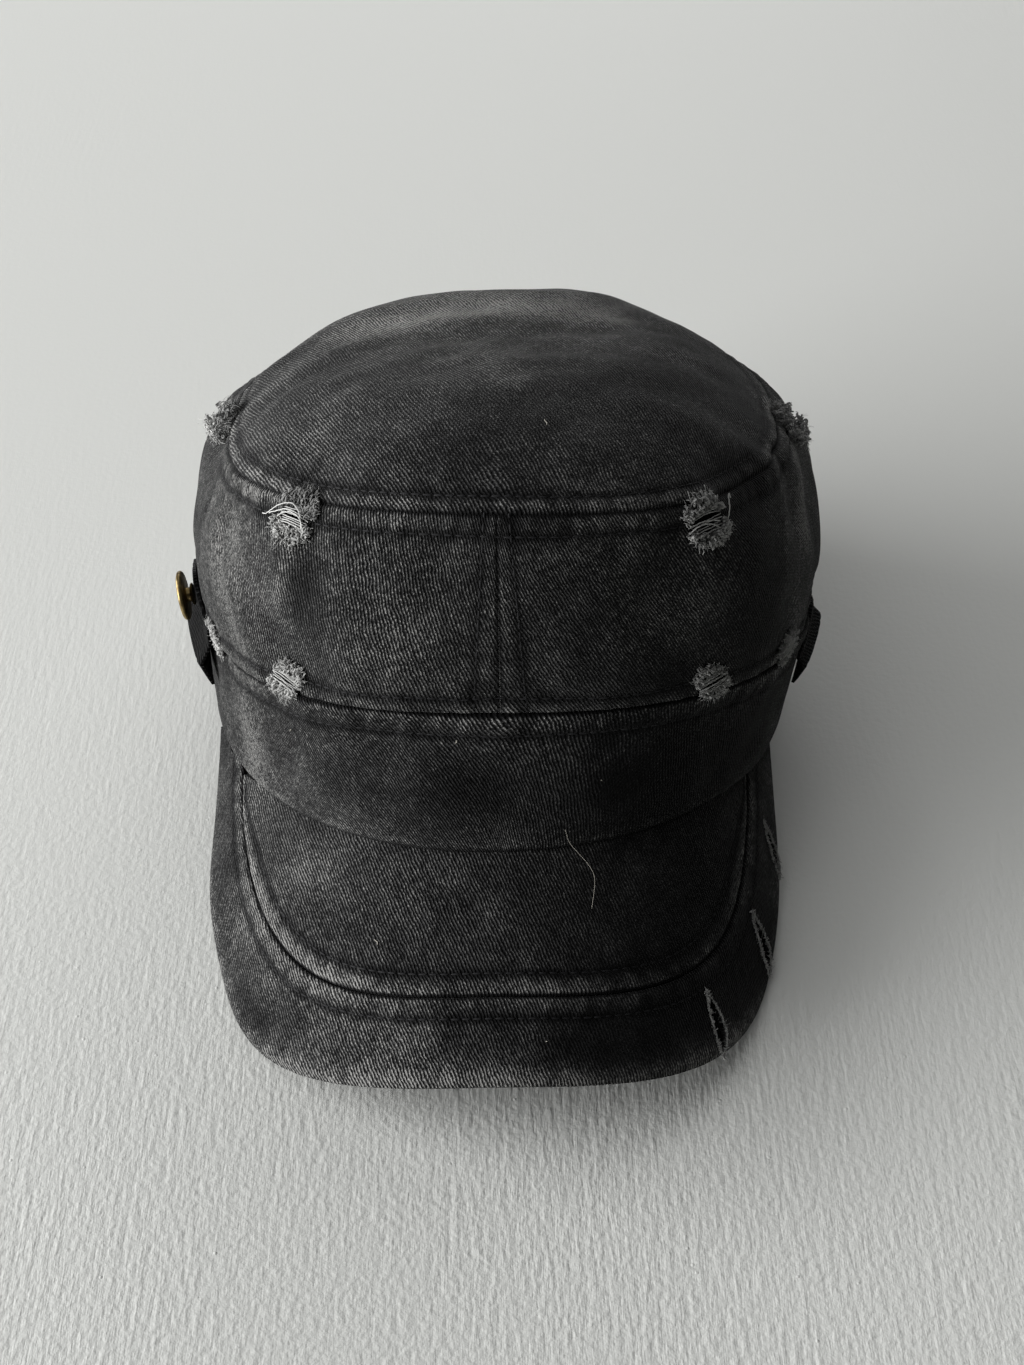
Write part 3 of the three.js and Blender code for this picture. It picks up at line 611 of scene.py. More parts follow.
def make_side_panel(name, side):
    high, stitch = WALL["height"], WALL["stitch_side"]
    stitch_rows = (WALL["stitch_low"], high - WALL["stitch_high"])
    angles = np.radians(np.linspace(PANEL_END, 180 - PANEL_END, 361))
    measured = lengths(wall_surface(side * angles, np.full_like(angles, 0.5)))
    length = measured[-1]
    columns = spread(length, (0, stitch, length - stitch, length), coarse=1.1)
    rows = spread(high, (0, *stitch_rows, high))
    angle, row = np.meshgrid(side * np.interp(columns, measured, angles), rows, indexing="ij")
    column = np.broadcast_to(columns[:, None], row.shape)
    base = wall_surface(angle, row / high)
    lift, worn = uneven(base, 7) * clamp(np.minimum(row, high - row) / 8), 0.14 * uneven(base, 8)
    # From each edge: the distance, the place along it, its stitches and seed, and its finish.
    for gap, along, stitched, seed, share, finish in (
            (row, side * column, WALL["stitch_low"], 21, 1, dict(rub=0.3, wide=1.0)),
            (high - row, side * column, WALL["stitch_high"], 31, 1, dict(rub=0.1)),
            (column, row, stitch, 41, 0.6, dict(depth=0.35, rub=0.35)),
            (length - column, row, stitch, 51, 0.6, dict(depth=0.35, rub=0.35))):
        edge_lift, edge_worn = sewn_edge(gap, along, stitched, seed, **finish)
        lift = lift + edge_lift
        worn = worn + share * edge_worn
    # Adds the table's painted light and shade, and its wash fading.
    worn = worn + 0.3 * rubbed_round_tears(base) + round_lines(base, LIGHT_SHADE_AND_WASH)
    outer, inner = cloth_sides(base, lift, WALL["cloth"], np.minimum(row, high - row))
    for distance in stitch_rows:
        CROWN_ROWS.append(row_at(outer, rows, distance))
    for distance in (stitch, length - stitch):
        CROWN_ROWS.append(outer[np.argmin(np.abs(columns - distance)), 1:-1])
    return shell(name, outer, inner, wale_places(side * column, row, 68), worn, away_from_slits(base))


for side, hand in ((-1, "left"), (1, "right")):
    panel = make_side_panel(f"wall_{hand}", side)
    panel.data.materials.append(washed_twill(f"washed_twill_wall_{hand}", 0.392, weave_contrast=0.56))
    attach(panel, "root")
    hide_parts(f"side_panel_{hand}")


# ---- Top -------------------------------------------------------------------------------
# One oval panel of twill, sewn to the top of the wall. It stands up in a shallow dome, paler at the back,
# where it is rubbed and where a painted sheen stands for the light that grazes it.

def make_top():
    size = TOP["radius"]
    out = 1 - spread(size, (0, TOP["stitch"]), fine=0.45, coarse=1.7)[::-1] / size
    reach = np.concatenate([-out[:0:-1], out])
    a, b = np.meshgrid(reach, reach, indexing="ij")
    # The square grid is rounded: its outermost cells follow the seam, and none is at a pole.
    wide = np.abs(a) >= np.abs(b)
    rho = np.where(wide, np.abs(a), np.abs(b))
    turn = np.where(wide, b, a) / np.where(rho == 0, 1, np.where(wide, a, b)) * math.pi / 4
    x = np.where(wide, np.sign(a) * np.cos(turn), np.sign(b) * np.sin(turn))
    y = np.where(wide, np.sign(a) * np.sin(turn), np.sign(b) * np.cos(turn))
    angle, gap = np.arctan2(x, -y), (1 - rho) * size
    base = top_surface(angle, rho)
    height, worn = sewn_edge(gap, angle * size, TOP["stitch"], 61, rub=0.5, wide=1.25)
    outer, inner = cloth_sides(base, height + uneven(base, 9) * clamp(gap / 8), TOP["cloth"], gap)
    edge = RINGS["top"]
    slant = math.hypot(1, edge["tilt"] / edge["half_length"])
    # Paler towards the back: partly wear, partly a painted sheen where light grazes the dome's far side.
    back = bell((base[..., 1] - edge["centre"]) * slant - TOP["pale_at"], TOP["pale_wide"])
    # Adds the table's painted light and shade, and its wash fading.
    worn = worn + 0.14 * uneven(base, 10) + 0.6 * back + round_lines(base, LIGHT_SHADE_AND_WASH)
    cut = rho + TOP["ease"] * rho ** 5
    flat = edge["half_width"] * cut * np.sin(angle), -edge["half_length"] * cut * np.cos(angle)
    k = np.argmin(np.abs(reach + 1 - TOP["stitch"] / size))
    sides = outer[k, k:~k], outer[k:~k, ~k], outer[~k, ~k:k:-1], outer[~k:k:-1, k], outer[k, k:k + 1]
    CROWN_ROWS.append(np.concatenate(sides))
    return shell("top", outer, inner, wale_places(*flat, 68), worn, away_from_slits(base))


top = make_top()
top.data.materials.append(washed_twill("washed_twill_top", 0.39, weave_contrast=0.56, wale=0.88))
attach(top, "root")
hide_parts("top_panel")


# ---- Peak ------------------------------------------------------------------------------
# Two layers sewn together at the edge and arched from side to side. The upper one is an
# inner panel and a border, joined by a curved seam with a row of stitches on each side, and
# three short slashes are cut through the border on the right.

PEAK_TOP = 1.3         # how thick the upper layer is
PEAK_UNDER = 2.2       # how thick the lower layer is
UNDER_EDGE = 0.5       # how far the lower layer's edge lies inside the upper one's
# The underside's upper face, hidden under the upper layer, is painted dark as shade in front of this line.
UNDER_OPEN = -36       # how far back the dark part of the underside reaches
BORDER_TUCK = 0.055    # how far the border runs on under the band, in radians
# The side edges of the peak turn outwards a little, most at a place along its middle.
FLARE = dict(left=2.9, right=1.5, at=-4, reach=24, power=8)
PEAK_STITCH = dict(inner=5.6, outer=5.4)
COLUMN = dict(inner=62, border=22, under=66)     # usual lengths of the layers' grid columns
# Both ends of each slash on the peak's flat pattern, across and forward, and how far its
# lips stand from the line between them.
SLASHES = [
    dict(start=(89.6, -24.5), stop=(98.2, -10), left=0.8, right=3.6),
    dict(start=(78.9, 4.6), stop=(86.7, 20.7), left=0.9, right=4.1),
    dict(start=(57.6, 30.3), stop=(62.2, 46.9), left=0.8, right=3.6),
]


def slash_frame(slash):
    """Where a slash starts, how it runs to its other end, and the way across it to the left."""
    run = np.subtract(slash["stop"], slash["start"])
    return np.array(slash["start"]), run, np.array([-run[1], run[0]]) / np.linalg.norm(run)


def slash_lip(slash, k, side):
    """Places on the left (1) or right (-1) lip of a slash, at shares of its length."""
    start, run, across = slash_frame(slash)
    k = np.asarray(k)
    widest, wide = (0.9, slash["left"]) if side > 0 else (1.3, -slash["right"])
    open_by = wide * np.sin(math.pi * clamp(k) ** widest) ** 0.8
    return start + k[..., None] * run + open_by[..., None] * across


def off_slashes(places):
    """Which places on the peak's flat pattern lie outside the slashes."""
    keep = np.ones(places.shape[:-1], dtype=bool)
    for slash in SLASHES:
        start, run, across = slash_frame(slash)
        part = (places - start) @ run / (run @ run)
        on_line = start + part[..., None] * run
        left, right = ((slash_lip(slash, part, side) - on_line) @ across for side in (1, -1))
        beside = (places - on_line) @ across
        keep &= ~((part > 0) & (part < 1) & (beside < left) & (beside > right))
    return keep


PEAK_ROWS = []


def peak_surface(u, q, off=0.0):
    """Places on the peak from its flat pattern, so far above its face: u across, q forward."""
    r = PEAK["radius"] + off
    arch = r * np.cos(u / PEAK["radius"]) - PEAK["radius"]
    fall, run = math.sin(PEAK["slope"]), math.cos(PEAK["slope"])
    side = np.where(u < 0, -FLARE["left"], FLARE["right"])
    flare = side * (np.abs(u) / PEAK["half_arc"]) ** FLARE["power"]
    x = PEAK["shift"] + r * np.sin(u / PEAK["radius"]) + flare * bell(q - FLARE["at"], FLARE["reach"])
    y = -RINGS["rim"]["half_length"] - q * run - arch * fall
    return np.stack([x, y, PEAK["crown"] - q * fall + arch * run], axis=-1)


def edge_at(t):
    """The peak's edge on its flat pattern, at t from -90 to 90 degrees."""
    forward = (PEAK["length"] - PEAK["widest"]) * power(np.cos(t), PEAK["square"])
    across = PEAK["half_arc"] * power(np.sin(t), PEAK["square"])
    return np.stack([across, PEAK["widest"] + forward], axis=-1)


def outline(t, inset):
    """The peak's edge at t, moved in by a distance."""
    step, limit = 0.004, math.pi / 2
    along = unit(edge_at(np.minimum(t + step, limit)) - edge_at(np.maximum(t - step, -limit)))
    inward = np.stack([along[..., 1], -along[..., 0]], axis=-1)
    return edge_at(t) + inward * np.asarray(inset)[..., None]


def seam_line(t, inset):
    """The seam between the inner panel and the border at t, moved in by a distance."""
    wider = np.where(t < 0, PEAK["corner_left"], PEAK["corner_right"]) * np.sin(2 * t) ** 2
    return outline(t, PEAK["border"] + wider + inset)


def back_edge(u):
    """How far forward the back edge of the peak's pattern lies, which is tucked under the band."""
    return -PEAK["tuck"] - PEAK["back_drop"] * (np.abs(u) / PEAK["half_arc"]) ** PEAK["back_power"]


def seam_end(inset):
    """Where the moved seam reaches the back edge."""
    inside, outside = math.radians(40), math.radians(90)
    for _ in range(40):
        middle = (inside + outside) / 2
        u, q = seam_line(np.array(middle), inset)
        inside, outside = (middle, outside) if q > back_edge(u) else (inside, middle)
    return inside


def peak_layer(name, pattern, lift, worn, face, thick, keep=None, row=None):
    """A layer of the peak from its flat pattern, its face so far from the peak's surface."""
    u, q = pattern[..., 0], pattern[..., 1]
    base = peak_surface(u, q, face)
    n = unit(peak_surface(u, q, face + 1) - base)
    outer = base + n * lift[..., None]
    inner = base - n * thick
    # No part of a layer dips into the floor.
    outer[..., 2] = np.maximum(outer[..., 2], 0.15)
    inner[..., 2] = np.maximum(inner[..., 2], 0)
    if row:
        PEAK_ROWS.append((line_at(outer, *row), unit(line_at(n, *row))))
    return shell(name, outer, inner, wale_places(u, -q, 67), worn, keep)


def fan(count, width, turn):
    """Shares from -1 to 1, and places on the back edge that lie closer towards its ends."""
    k = np.linspace(-1, 1, count)
    u = width * np.sin(k * turn) / math.sin(turn)
    return k, np.stack([u, back_edge(u)], axis=-1)


def laid(near, far, reach):
    """A flat pattern between two lines, and the distance between them."""
    pattern = blend(near[:, None], far[:, None], np.broadcast_to(reach, (len(near), len(reach))))
    return pattern, np.linalg.norm(far - near, axis=-1)[:, None]


def beside_seam(pattern, t, depth, width):
    """A pattern with its first few millimetres beside the seam laid parallel to it."""
    parallel = seam_line(t[:, None] + 0 * depth, depth)
    share = clamp((13 - np.abs(depth)) / 6) * clamp((width - 12) / 12)
    return blend(pattern, parallel, share)


def line_at(grid, distances, distance):
    """The line through a grid where its columns reach a distance."""
    line = np.empty((len(grid), 3))
    for spot, column, reached in zip(line, grid, distances):
        order = np.argsort(reached)
        spot[:] = [np.interp(distance, reached[order], column[order, axis]) for axis in range(3)]
    return line[np.max(distances, axis=1) > distance]


def make_peak_inner():
    inset, stitch, size = SEAM_GAP / 2, PEAK_STITCH["inner"], COLUMN["inner"]
    end = seam_end(inset) * 0.992
    k, back = fan(241, seam_line(np.array(end), inset)[0] - 1.5, 1.35)
    front = seam_line(k * end, inset)
    reach = spread(size, (size, size - stitch)) / size
    pattern, length = laid(back, front, reach)
    depth = length * (1 - reach)
    pattern = beside_seam(pattern, k * end, depth + inset, length)
    height, worn = sewn_edge(depth, lengths(front)[:, None], stitch, 71, depth=0.6, rub=1.1)
    points = peak_surface(pattern[..., 0], pattern[..., 1])
    lift = height + 0.5 * uneven(points, 12) * clamp(depth / 8) * clamp(reach * 3)
    # Adds the table's painted light and shade, and its wash fading.
    worn = worn + 0.12 * uneven(points, 13) + round_lines(points, LIGHT_SHADE_AND_WASH)
    return peak_layer("peak_inner", pattern, lift, worn, 0.0, PEAK_TOP, row=(depth, stitch))


def make_peak_border():
    inset, stitch, size = -SEAM_GAP / 2, PEAK_STITCH["outer"], COLUMN["border"]
    end = seam_end(inset) + BORDER_TUCK
    k = np.linspace(-1, 1, 421)
    near = seam_line(k * end, inset)
    reach = spread(size, (0, stitch, size), coarse=1.0) / size
    pattern, width = laid(near, edge_at(k * math.pi / 2), reach)
    depth, edge = width * reach, width * (1 - reach)
    pattern = beside_seam(pattern, k * end, inset - depth, width)
    along = lengths(near)[:, None]
    height, worn = sewn_edge(depth, along, stitch, 81, depth=0.8, rub=0.6)
    points = peak_surface(pattern[..., 0], pattern[..., 1])
    lift = height - 0.8 * bell(edge, 0.9) + 0.4 * uneven(points, 14) * clamp(edge / 6)
    front = clamp(1.25 * np.cos(k * math.pi / 2) ** 0.5 - 0.15)[:, None]
    rubbed = bell(edge - 1.2, 3.2) * (0.95 + 0.25 * ripple(along, 7, 83))
    # Adds the table's painted light and shade, and its wash fading.
    worn = worn + 0.12 * uneven(points, 15) + round_lines(points, LIGHT_SHADE_AND_WASH) + front * rubbed
    keep = off_slashes((pattern[:-1, :-1] + pattern[1:, 1:]) / 2)
    return peak_layer("peak_border", pattern, lift, worn, 0.0, PEAK_TOP, keep, row=(depth, stitch))


def make_peak_under():
    k, back = fan(181, PEAK["half_arc"] - 2 * UNDER_EDGE, 1.4)
    reach = spread(COLUMN["under"], (COLUMN["under"],), coarse=2.0) / COLUMN["under"]
    pattern, length = laid(back, outline(k * math.radians(89.8), UNDER_EDGE), reach)
    edge = length * (1 - reach)
    # The underside's edge is rubbed pale, and its hidden upper face is painted dark as shade in front of
    # UNDER_OPEN.
    worn = 1.8 * bell(edge, 1.5) - 1.1 * clamp((pattern[..., 1] - UNDER_OPEN) / 8) - 0.1
    face = -PEAK_TOP - SEAM_GAP
    return peak_layer("peak_under", pattern, -0.3 * bell(edge, 0.7), worn, face, PEAK_UNDER)


for piece, stands_for, level in ((make_peak_inner(), "peak_inner_panel", 0.34),
                                 (make_peak_border(), "peak_border_panel", 0.335),
                                 (make_peak_under(), "peak_underside", 0.36)):
    piece.data.materials.append(washed_twill(f"washed_twill_{piece.name}", level))
    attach(piece, "root")
    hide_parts(stands_for)


# ---- Topstitching ----------------------------------------------------------------------
# Rows of black cotton lockstitch on both sides of every seam, sunk a little into the cloth
# and broken where a seam is worn through.

STITCH = dict(pitch=2.7, length=2.35, thick=0.6, sink=0.02)


def finish_tree(tree, geometry, material, result):
    """Ends a tree: its geometry made real, shaded smoothly and given the material."""
    real = put(tree, "GeometryNodeRealizeInstances", {"Geometry": geometry}).outputs[0]
    smooth = put(tree, "GeometryNodeSetShadeSmooth", {"Geometry": real}).outputs[0]
    done = put(tree, "GeometryNodeSetMaterial", {"Geometry": smooth, "Material": material}).outputs[0]
    tree.links.new(done, result["Geometry"])


def stitch_tree():
    """One capsule of thread for each step along the routes, its flat side on the cloth."""
    tree, given, result = node_group("stitch_rows", "GeometryNodeTree", {
        "Geometry": "Geometry", "Pitch": "Float", "Length": "Float", "Thickness": "Float",
        "Seed": "Int", "Material": "Material"}, {"Geometry": "Geometry"})
    curve = put(tree, "GeometryNodeMeshToCurve", {"Mesh": given["Geometry"]}).outputs[0]
    even = put(tree, "GeometryNodeResampleCurve", {"Curve": curve, "Length": given["Pitch"]},
               mode="LENGTH").outputs[0]
    tangent = put(tree, "GeometryNodeInputTangent").outputs[0]
    out = put(tree, "GeometryNodeInputNamedAttribute", {"Name": "out"}, data_type="FLOAT_VECTOR").outputs[0]
    lie = put(tree, "FunctionNodeAxesToRotation", {"Primary Axis": tangent, "Secondary Axis": out},
              primary_axis="X", secondary_axis="Z").outputs[0]
    jog = put(tree, "FunctionNodeRandomValue", {"Min": 0.86, "Max": 1.1, "Seed": given["Seed"]},
              data_type="FLOAT")
    ball = put(tree, "GeometryNodeMeshUVSphere", {"Segments": 8, "Rings": 6, "Radius": 0.5}).outputs["Mesh"]
    size = put(tree, "ShaderNodeCombineXYZ", {
        "X": given["Length"], "Y": given["Thickness"],
        "Z": calc(tree, "MULTIPLY", given["Thickness"], 0.7)}).outputs[0]
    capsule = put(tree, "GeometryNodeTransform", {"Geometry": ball, "Scale": size}).outputs[0]
    rows = put(tree, "GeometryNodeInstanceOnPoints", {
        "Points": even, "Instance": capsule, "Rotation": lie, "Scale": jog.outputs["Value"]}).outputs[0]
    finish_tree(tree, rows, given["Material"], result)
    return tree


def routes_mesh(name, routes, **layers):
    """Open lines of points in cap millimetres, joined in one mesh with a value at each point."""
    mesh = bpy.data.meshes.new(name)
    starts = np.cumsum([0] + [len(r) for r in routes])
    edges = [(a + k, a + k + 1) for a, b in zip(starts, starts[1:]) for k in range(b - a - 1)]
    mesh.from_pydata((np.concatenate(routes) - CAP_MIDDLE) * MM, edges, [])
    for layer, values in layers.items():
        values = np.concatenate(values)
        kind, key = ("FLOAT_VECTOR", "vector") if values.ndim > 1 else ("FLOAT", "value")
        mesh.attributes.new(layer, kind, "POINT").data.foreach_set(key, values.ravel())
    return mesh


def grown(name, mesh, tree, values):
    """A piece of plain mesh that a tree makes from a mesh."""
    worker = placed(name, mesh)
    modifier = worker.modifiers.new("grow", "NODES")
    modifier.node_group = tree
    for item in tree.interface.items_tree:
        if item.in_out == "INPUT" and item.name in values:
            modifier[item.identifier] = values[item.name]
    graph = bpy.context.evaluated_depsgraph_get()
    made = bpy.data.meshes.new_from_object(worker.evaluated_get(graph), depsgraph=graph)
    bpy.data.objects.remove(worker)
    made.name = name
    return placed(name, made)


def plain_cloth(name, colour, roughness, mottle, scale):
    """Cotton thread of one colour, a little uneven."""
    material, tree, place = new_surface(name)
    shade = noise(tree, place, scale, 3.0, 0.6)
    stops = [(0.3, [c * (1 - mottle) for c in colour]), (0.7, [c * (1 + mottle) for c in colour])]
    finish_surface(tree, ramp(tree, shade, stops), shade, 0.0001, 0.6, Roughness=roughness,
                   Specular_IOR_Level=0.3)
    return material


def unbroken(points):
    """The stretches of a line that run clear of the worn places."""
    clear = np.ones(len(points), dtype=bool)
    for tear in TEARS.values():
        clear &= clear_of(points, tear, tear["along"] - 0.5, tear["high"] + 0.5)
    cuts = np.flatnonzero(np.diff(clear.astype(int))) + 1
    parts = zip(np.split(points, cuts), np.split(clear, cuts))
    return [part for part, kept in parts if kept[0] and len(part) > 3]


BLACK_THREAD = plain_cloth("black_thread", (0.008, 0.008, 0.009), 0.75, 0.5, 2500)
STITCH_ROWS = stitch_tree()
SEWING = {"Pitch": STITCH["pitch"] * MM, "Length": STITCH["length"] * MM,
          "Thickness": STITCH["thick"] * MM, "Material": BLACK_THREAD}

crown_lines = [part for row in CROWN_ROWS for part in unbroken(row)]
sewn_rows = {"crown": [(line, facing(line)) for line in crown_lines], "peak": PEAK_ROWS}
for seed, (place, lines) in enumerate(sewn_rows.items(), start=3):
    sunk = [line - out * STITCH["sink"] for line, out in lines]
    mesh = routes_mesh(f"{place}_stitch_routes", sunk, out=[out for _, out in lines])
    stitching = grown(f"{place}_stitching", mesh, STITCH_ROWS, {**SEWING, "Seed": seed})
    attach(stitching, "root")


# ---- Worn-through places ---------------------------------------------------------------
# Where a seam is worn through, the twill's weft is gone and its pale warp stands round the
# slit in a fringe of short curled yarns, with a few yarns still running across it.

FRINGE = dict(curls=105, ends=44, fuzz=34, threads=7, thick=0.22, points=8, strand_points=7)
# Long threads that hang out of a worn place: points along it, up it and off the cloth.
STRANDS = {
    "top_front_left": [
        [(4.6, -3.2, 1.0), (2.2, 1.4, 2.2), (-1.6, 3.0, 2.6), (-5.6, 1.2, 1.8), (-9.0, -1.8, 1.2),
         (-11.6, -2.8, 0.5)],
        [(4.4, -2.6, 0.8), (2.0, 0.9, 1.8), (-1.8, 1.6, 2.4), (-5.8, -0.2, 1.6), (-8.0, -1.4, 1.4)],
        [(4.8, -2.8, 1.0), (3.2, 0.2, 2.2), (0.4, 1.2, 2.4), (-2.6, 0.6, 2.0), (-4.8, -1.2, 1.4)]],
    "top_front_right": [
        [(5.6, -2.6, 0.8), (6.8, -0.8, 1.8), (7.0, 1.6, 2.8), (7.3, 3.4, 3.2), (7.9, 3.9, 3.3),
         (8.1, 3.3, 3.1)],
        [(-6.6, 0.4, 1.0), (-3.2, 0.9, 1.6), (0.6, 0.5, 1.6), (3.6, -0.6, 1.1)],
        [(-6.2, -0.6, 1.0), (-3.0, 0.4, 1.8), (0.2, -0.4, 1.6), (2.8, -2.0, 1.1)]],
    "top_side_left": [[(-2.0, 1.0, 1.0), (-3.2, 2.6, 3.4), (-2.6, 3.8, 5.2)]],
    "top_side_right": [[(2.0, 1.0, 1.0), (3.4, 2.4, 3.4), (2.8, 3.6, 5.0)]],
}


def yarn_tree():
    """A soft round yarn along each route, a little shaken, as thick as its radius value."""
    tree, given, result = node_group("yarns", "GeometryNodeTree", {
        "Geometry": "Geometry", "Sides": "Int", "Shake": "Float", "Curl": "Float",
        "Seed": "Float", "Material": "Material"}, {"Geometry": "Geometry"})
    curve = put(tree, "GeometryNodeMeshToCurve", {"Mesh": given["Geometry"]}).outputs[0]
    place = put(tree, "GeometryNodeInputPosition").outputs[0]
    wander = {"Vector": place, "W": given["Seed"], "Scale": given["Curl"], "Detail": 1.0}
    moved = put(tree, "ShaderNodeTexNoise", wander, noise_dimensions="4D").outputs["Color"]
    centred = put(tree, "ShaderNodeVectorMath", {0: moved, 1: (0.5, 0.5, 0.5)}, operation="SUBTRACT")
    offset = put(tree, "ShaderNodeVectorMath", {0: centred.outputs[0], "Scale": given["Shake"]},
                 operation="SCALE").outputs[0]
    shaken = put(tree, "GeometryNodeSetPosition", {"Geometry": curve, "Offset": offset}).outputs[0]
    radius = put(tree, "GeometryNodeInputNamedAttribute", {"Name": "radius"}, data_type="FLOAT").outputs[0]
    circle = {"Resolution": given["Sides"], "Radius": 1.0}
    section = put(tree, "GeometryNodeCurvePrimitiveCircle", circle).outputs[0]
    sweep = put(tree, "GeometryNodeCurveToMesh", {
        "Curve": shaken, "Profile Curve": section, "Fill Caps": True})
    if "Scale" in sweep.inputs:
        tree.links.new(radius, sweep.inputs["Scale"])
    finish_tree(tree, sweep.outputs[0], given["Material"], result)
    return tree


YARNS = yarn_tree()


def pale_yarn(name, dark, light):
    """Bleached warp yarn, from dark at the root to light at the end, by the yarn's own tone."""
    material, tree, place = new_surface(name)
    tone = put(tree, "ShaderNodeAttribute", attribute_name="tone").outputs["Fac"]
    speckle = noise(tree, place, 2200, 2.0, 0.7)
    shade = scaled(tree, speckle, 0.5, calc(tree, "ADD", tone, -0.25))
    finish_surface(tree, ramp(tree, shade, [(0, dark), (1, light)]), speckle, 0.00012, 0.7,
                   Roughness=0.95, Specular_IOR_Level=0.2, Sheen_Weight=0.2)
    return material


PALE_YARN = pale_yarn("pale_yarn", (0.022, 0.022, 0.023), (0.56, 0.56, 0.545))


def over_crown(tear, spots):
    """Places beside a worn place's middle, so far along it, up it and off the cloth."""
    angle, share = math.radians(tear["angle"]), tear["up"]
    here = on_crown(np.array([angle - 0.01, angle + 0.01]), np.array([share, share]))
    per_radian = np.linalg.norm(here[1] - here[0]) / 0.02
    c, s = cos_sin(tear["lean"])
    turn = angle + (spots[..., 0] * c - spots[..., 1] * s) / per_radian
    rise = share + (spots[..., 0] * s + spots[..., 1] * c) / WALL["height"]
    across, upward = crown_ways(turn, rise, 0.015, 0.02)
    return on_crown(turn, rise) + unit(np.cross(across, upward)) * spots[..., 2:]


def curl(random, middle, size, count):
    """A loop of yarn about a middle, standing on edge in a random direction."""
    heading = random.uniform(0, math.tau)
    axle = unit(np.array([math.cos(heading), math.sin(heading), random.normal(0, 0.5)]))
    one = unit(np.cross(axle, [0, 0, 1]))
    other = np.cross(one, axle)
    theta = random.uniform(0, math.tau) + np.linspace(0, random.uniform(3.4, 6.4), count)
    swell = size * np.linspace(1, random.uniform(0.6, 1.1), count)[:, None]
    drift = np.outer(np.linspace(-0.5, 0.5, count), axle) * random.normal(0, 0.9)
    return middle + swell * (np.outer(np.cos(theta), one) + np.outer(np.sin(theta), other)) + drift


def lip_spot(random, tear, side):
    """A place in the fluff on one side of the slit: how far out of it, and where."""
    a, b = tear["slit"]
    k = random.uniform(-1, 1)
    out = random.uniform(0, 1)
    reach = (tear["high"] - b) * math.sqrt(1 - (0.75 * k) ** 2)
    along = k * (a + (tear["along"] - a) * (0.35 + 0.65 * math.sin(2.2 * out)))
    return out, along, side * (b * math.sqrt(1 - k * k) + reach * out)


def add_yarn(bundle, line, thick, light):
    """Adds a line to a bundle of yarns, with its thickness and paleness."""
    lines, radii, tones = bundle
    lines.append(line)
    radii.append(np.broadcast_to(thick * MM, len(line)))
    tones.append(np.broadcast_to(light, len(line)))


def add_fuzz(random, bundle, line):
    """Adds a line as a yarn as fine as a hair."""
    add_yarn(bundle, line, 0.035, random.uniform(0.5, 1.0))


def fringe(place, tear, seed):
    """The yarns of one worn place: curled ends on both lips of the slit, straight ends round
    them, fine fuzz, and whole threads across it."""
    random = np.random.default_rng(seed)
    part = np.linspace(0, 1, FRINGE["points"])
    bundle = [], [], []
    for side, pale in zip((1, -1), tear["pale"]):
        for _ in range(FRINGE["curls"]):
            out, along, up = lip_spot(random, tear, side)
            level = random.uniform(0.1, 1) ** 0.8
            crest = tear["proud"] * (0.45 + 0.55 * math.sin(math.pi * (0.12 + 0.8 * out)))
            middle = np.array([along, up, 0.15 + crest * level])
            line = curl(random, middle, random.uniform(0.3, 0.65), len(part))
            thick = FRINGE["thick"] * random.uniform(0.75, 1.25)
            # Curls lower in the fluff are painted darker, as shade under the curls above them.
            light = pale * random.uniform(0.6, 1.05) * (0.2 + 0.8 * level)
            add_yarn(bundle, line, thick, light * (0.75 + 0.25 * part))
        for _ in range(FRINGE["ends"]):
            out, along, up = lip_spot(random, tear, side)
            way = unit(np.array([along, up, 0.0])) * random.uniform(0.8, 2.2)
            rise = tear["proud"] * random.uniform(0.3, 0.8) * np.sin(part * random.uniform(1.6, 2.9))
            sway = np.array([-way[1], way[0], 0]) * random.normal(0, 0.35)
            line = np.array([along, up, 0.3]) + np.outer(part, way) + np.outer(part ** 2, sway)
            thick = random.uniform(0.1, 0.17) * (1 - 0.4 * part)
            light = pale * random.uniform(0.5, 1) * (0.4 + 0.6 * part)
            add_yarn(bundle, line + np.outer(rise, [0, 0, 1]), thick, light)
        for _ in range(FRINGE["fuzz"]):
            out, along, up = lip_spot(random, tear, side)
            way = random.normal(size=3) * [0.9, 0.9, 0.5] + np.array([0.12 * along, 0.16 * up, 0.5])
            bow = random.normal(size=3) * 0.5
            line = np.array([along, up, tear["proud"] * random.uniform(0.3, 1)])
            line = line + np.outer(part, way) + np.outer(part * (1 - part) * 2, bow)
            add_fuzz(random, bundle, line)
    a, b = tear["slit"]
    for k in np.linspace(-0.85, 0.85, FRINGE["threads"]):
        half = a * random.uniform(1.0, 1.25)
        bow = random.normal(0, 0.25) + 0.5
        arch = np.sin(part * math.pi)
        rise = 0.5 + random.uniform(0, 0.5) + 0.5 * arch
        line = np.stack([half * (2 * part - 1), b * k + bow * arch - 0.3, rise], axis=-1)
        add_yarn(bundle, line, random.uniform(0.12, 0.18), random.uniform(0.65, 1.0))
    bundle = list(over_crown(tear, np.array(bundle[0]))), *bundle[1:]
    for strand in STRANDS.get(place, []):
        line = over_crown(tear, smooth_line(strand, FRINGE["strand_points"]))
        add_yarn(bundle, line, 0.15, 0.95)
    return bundle


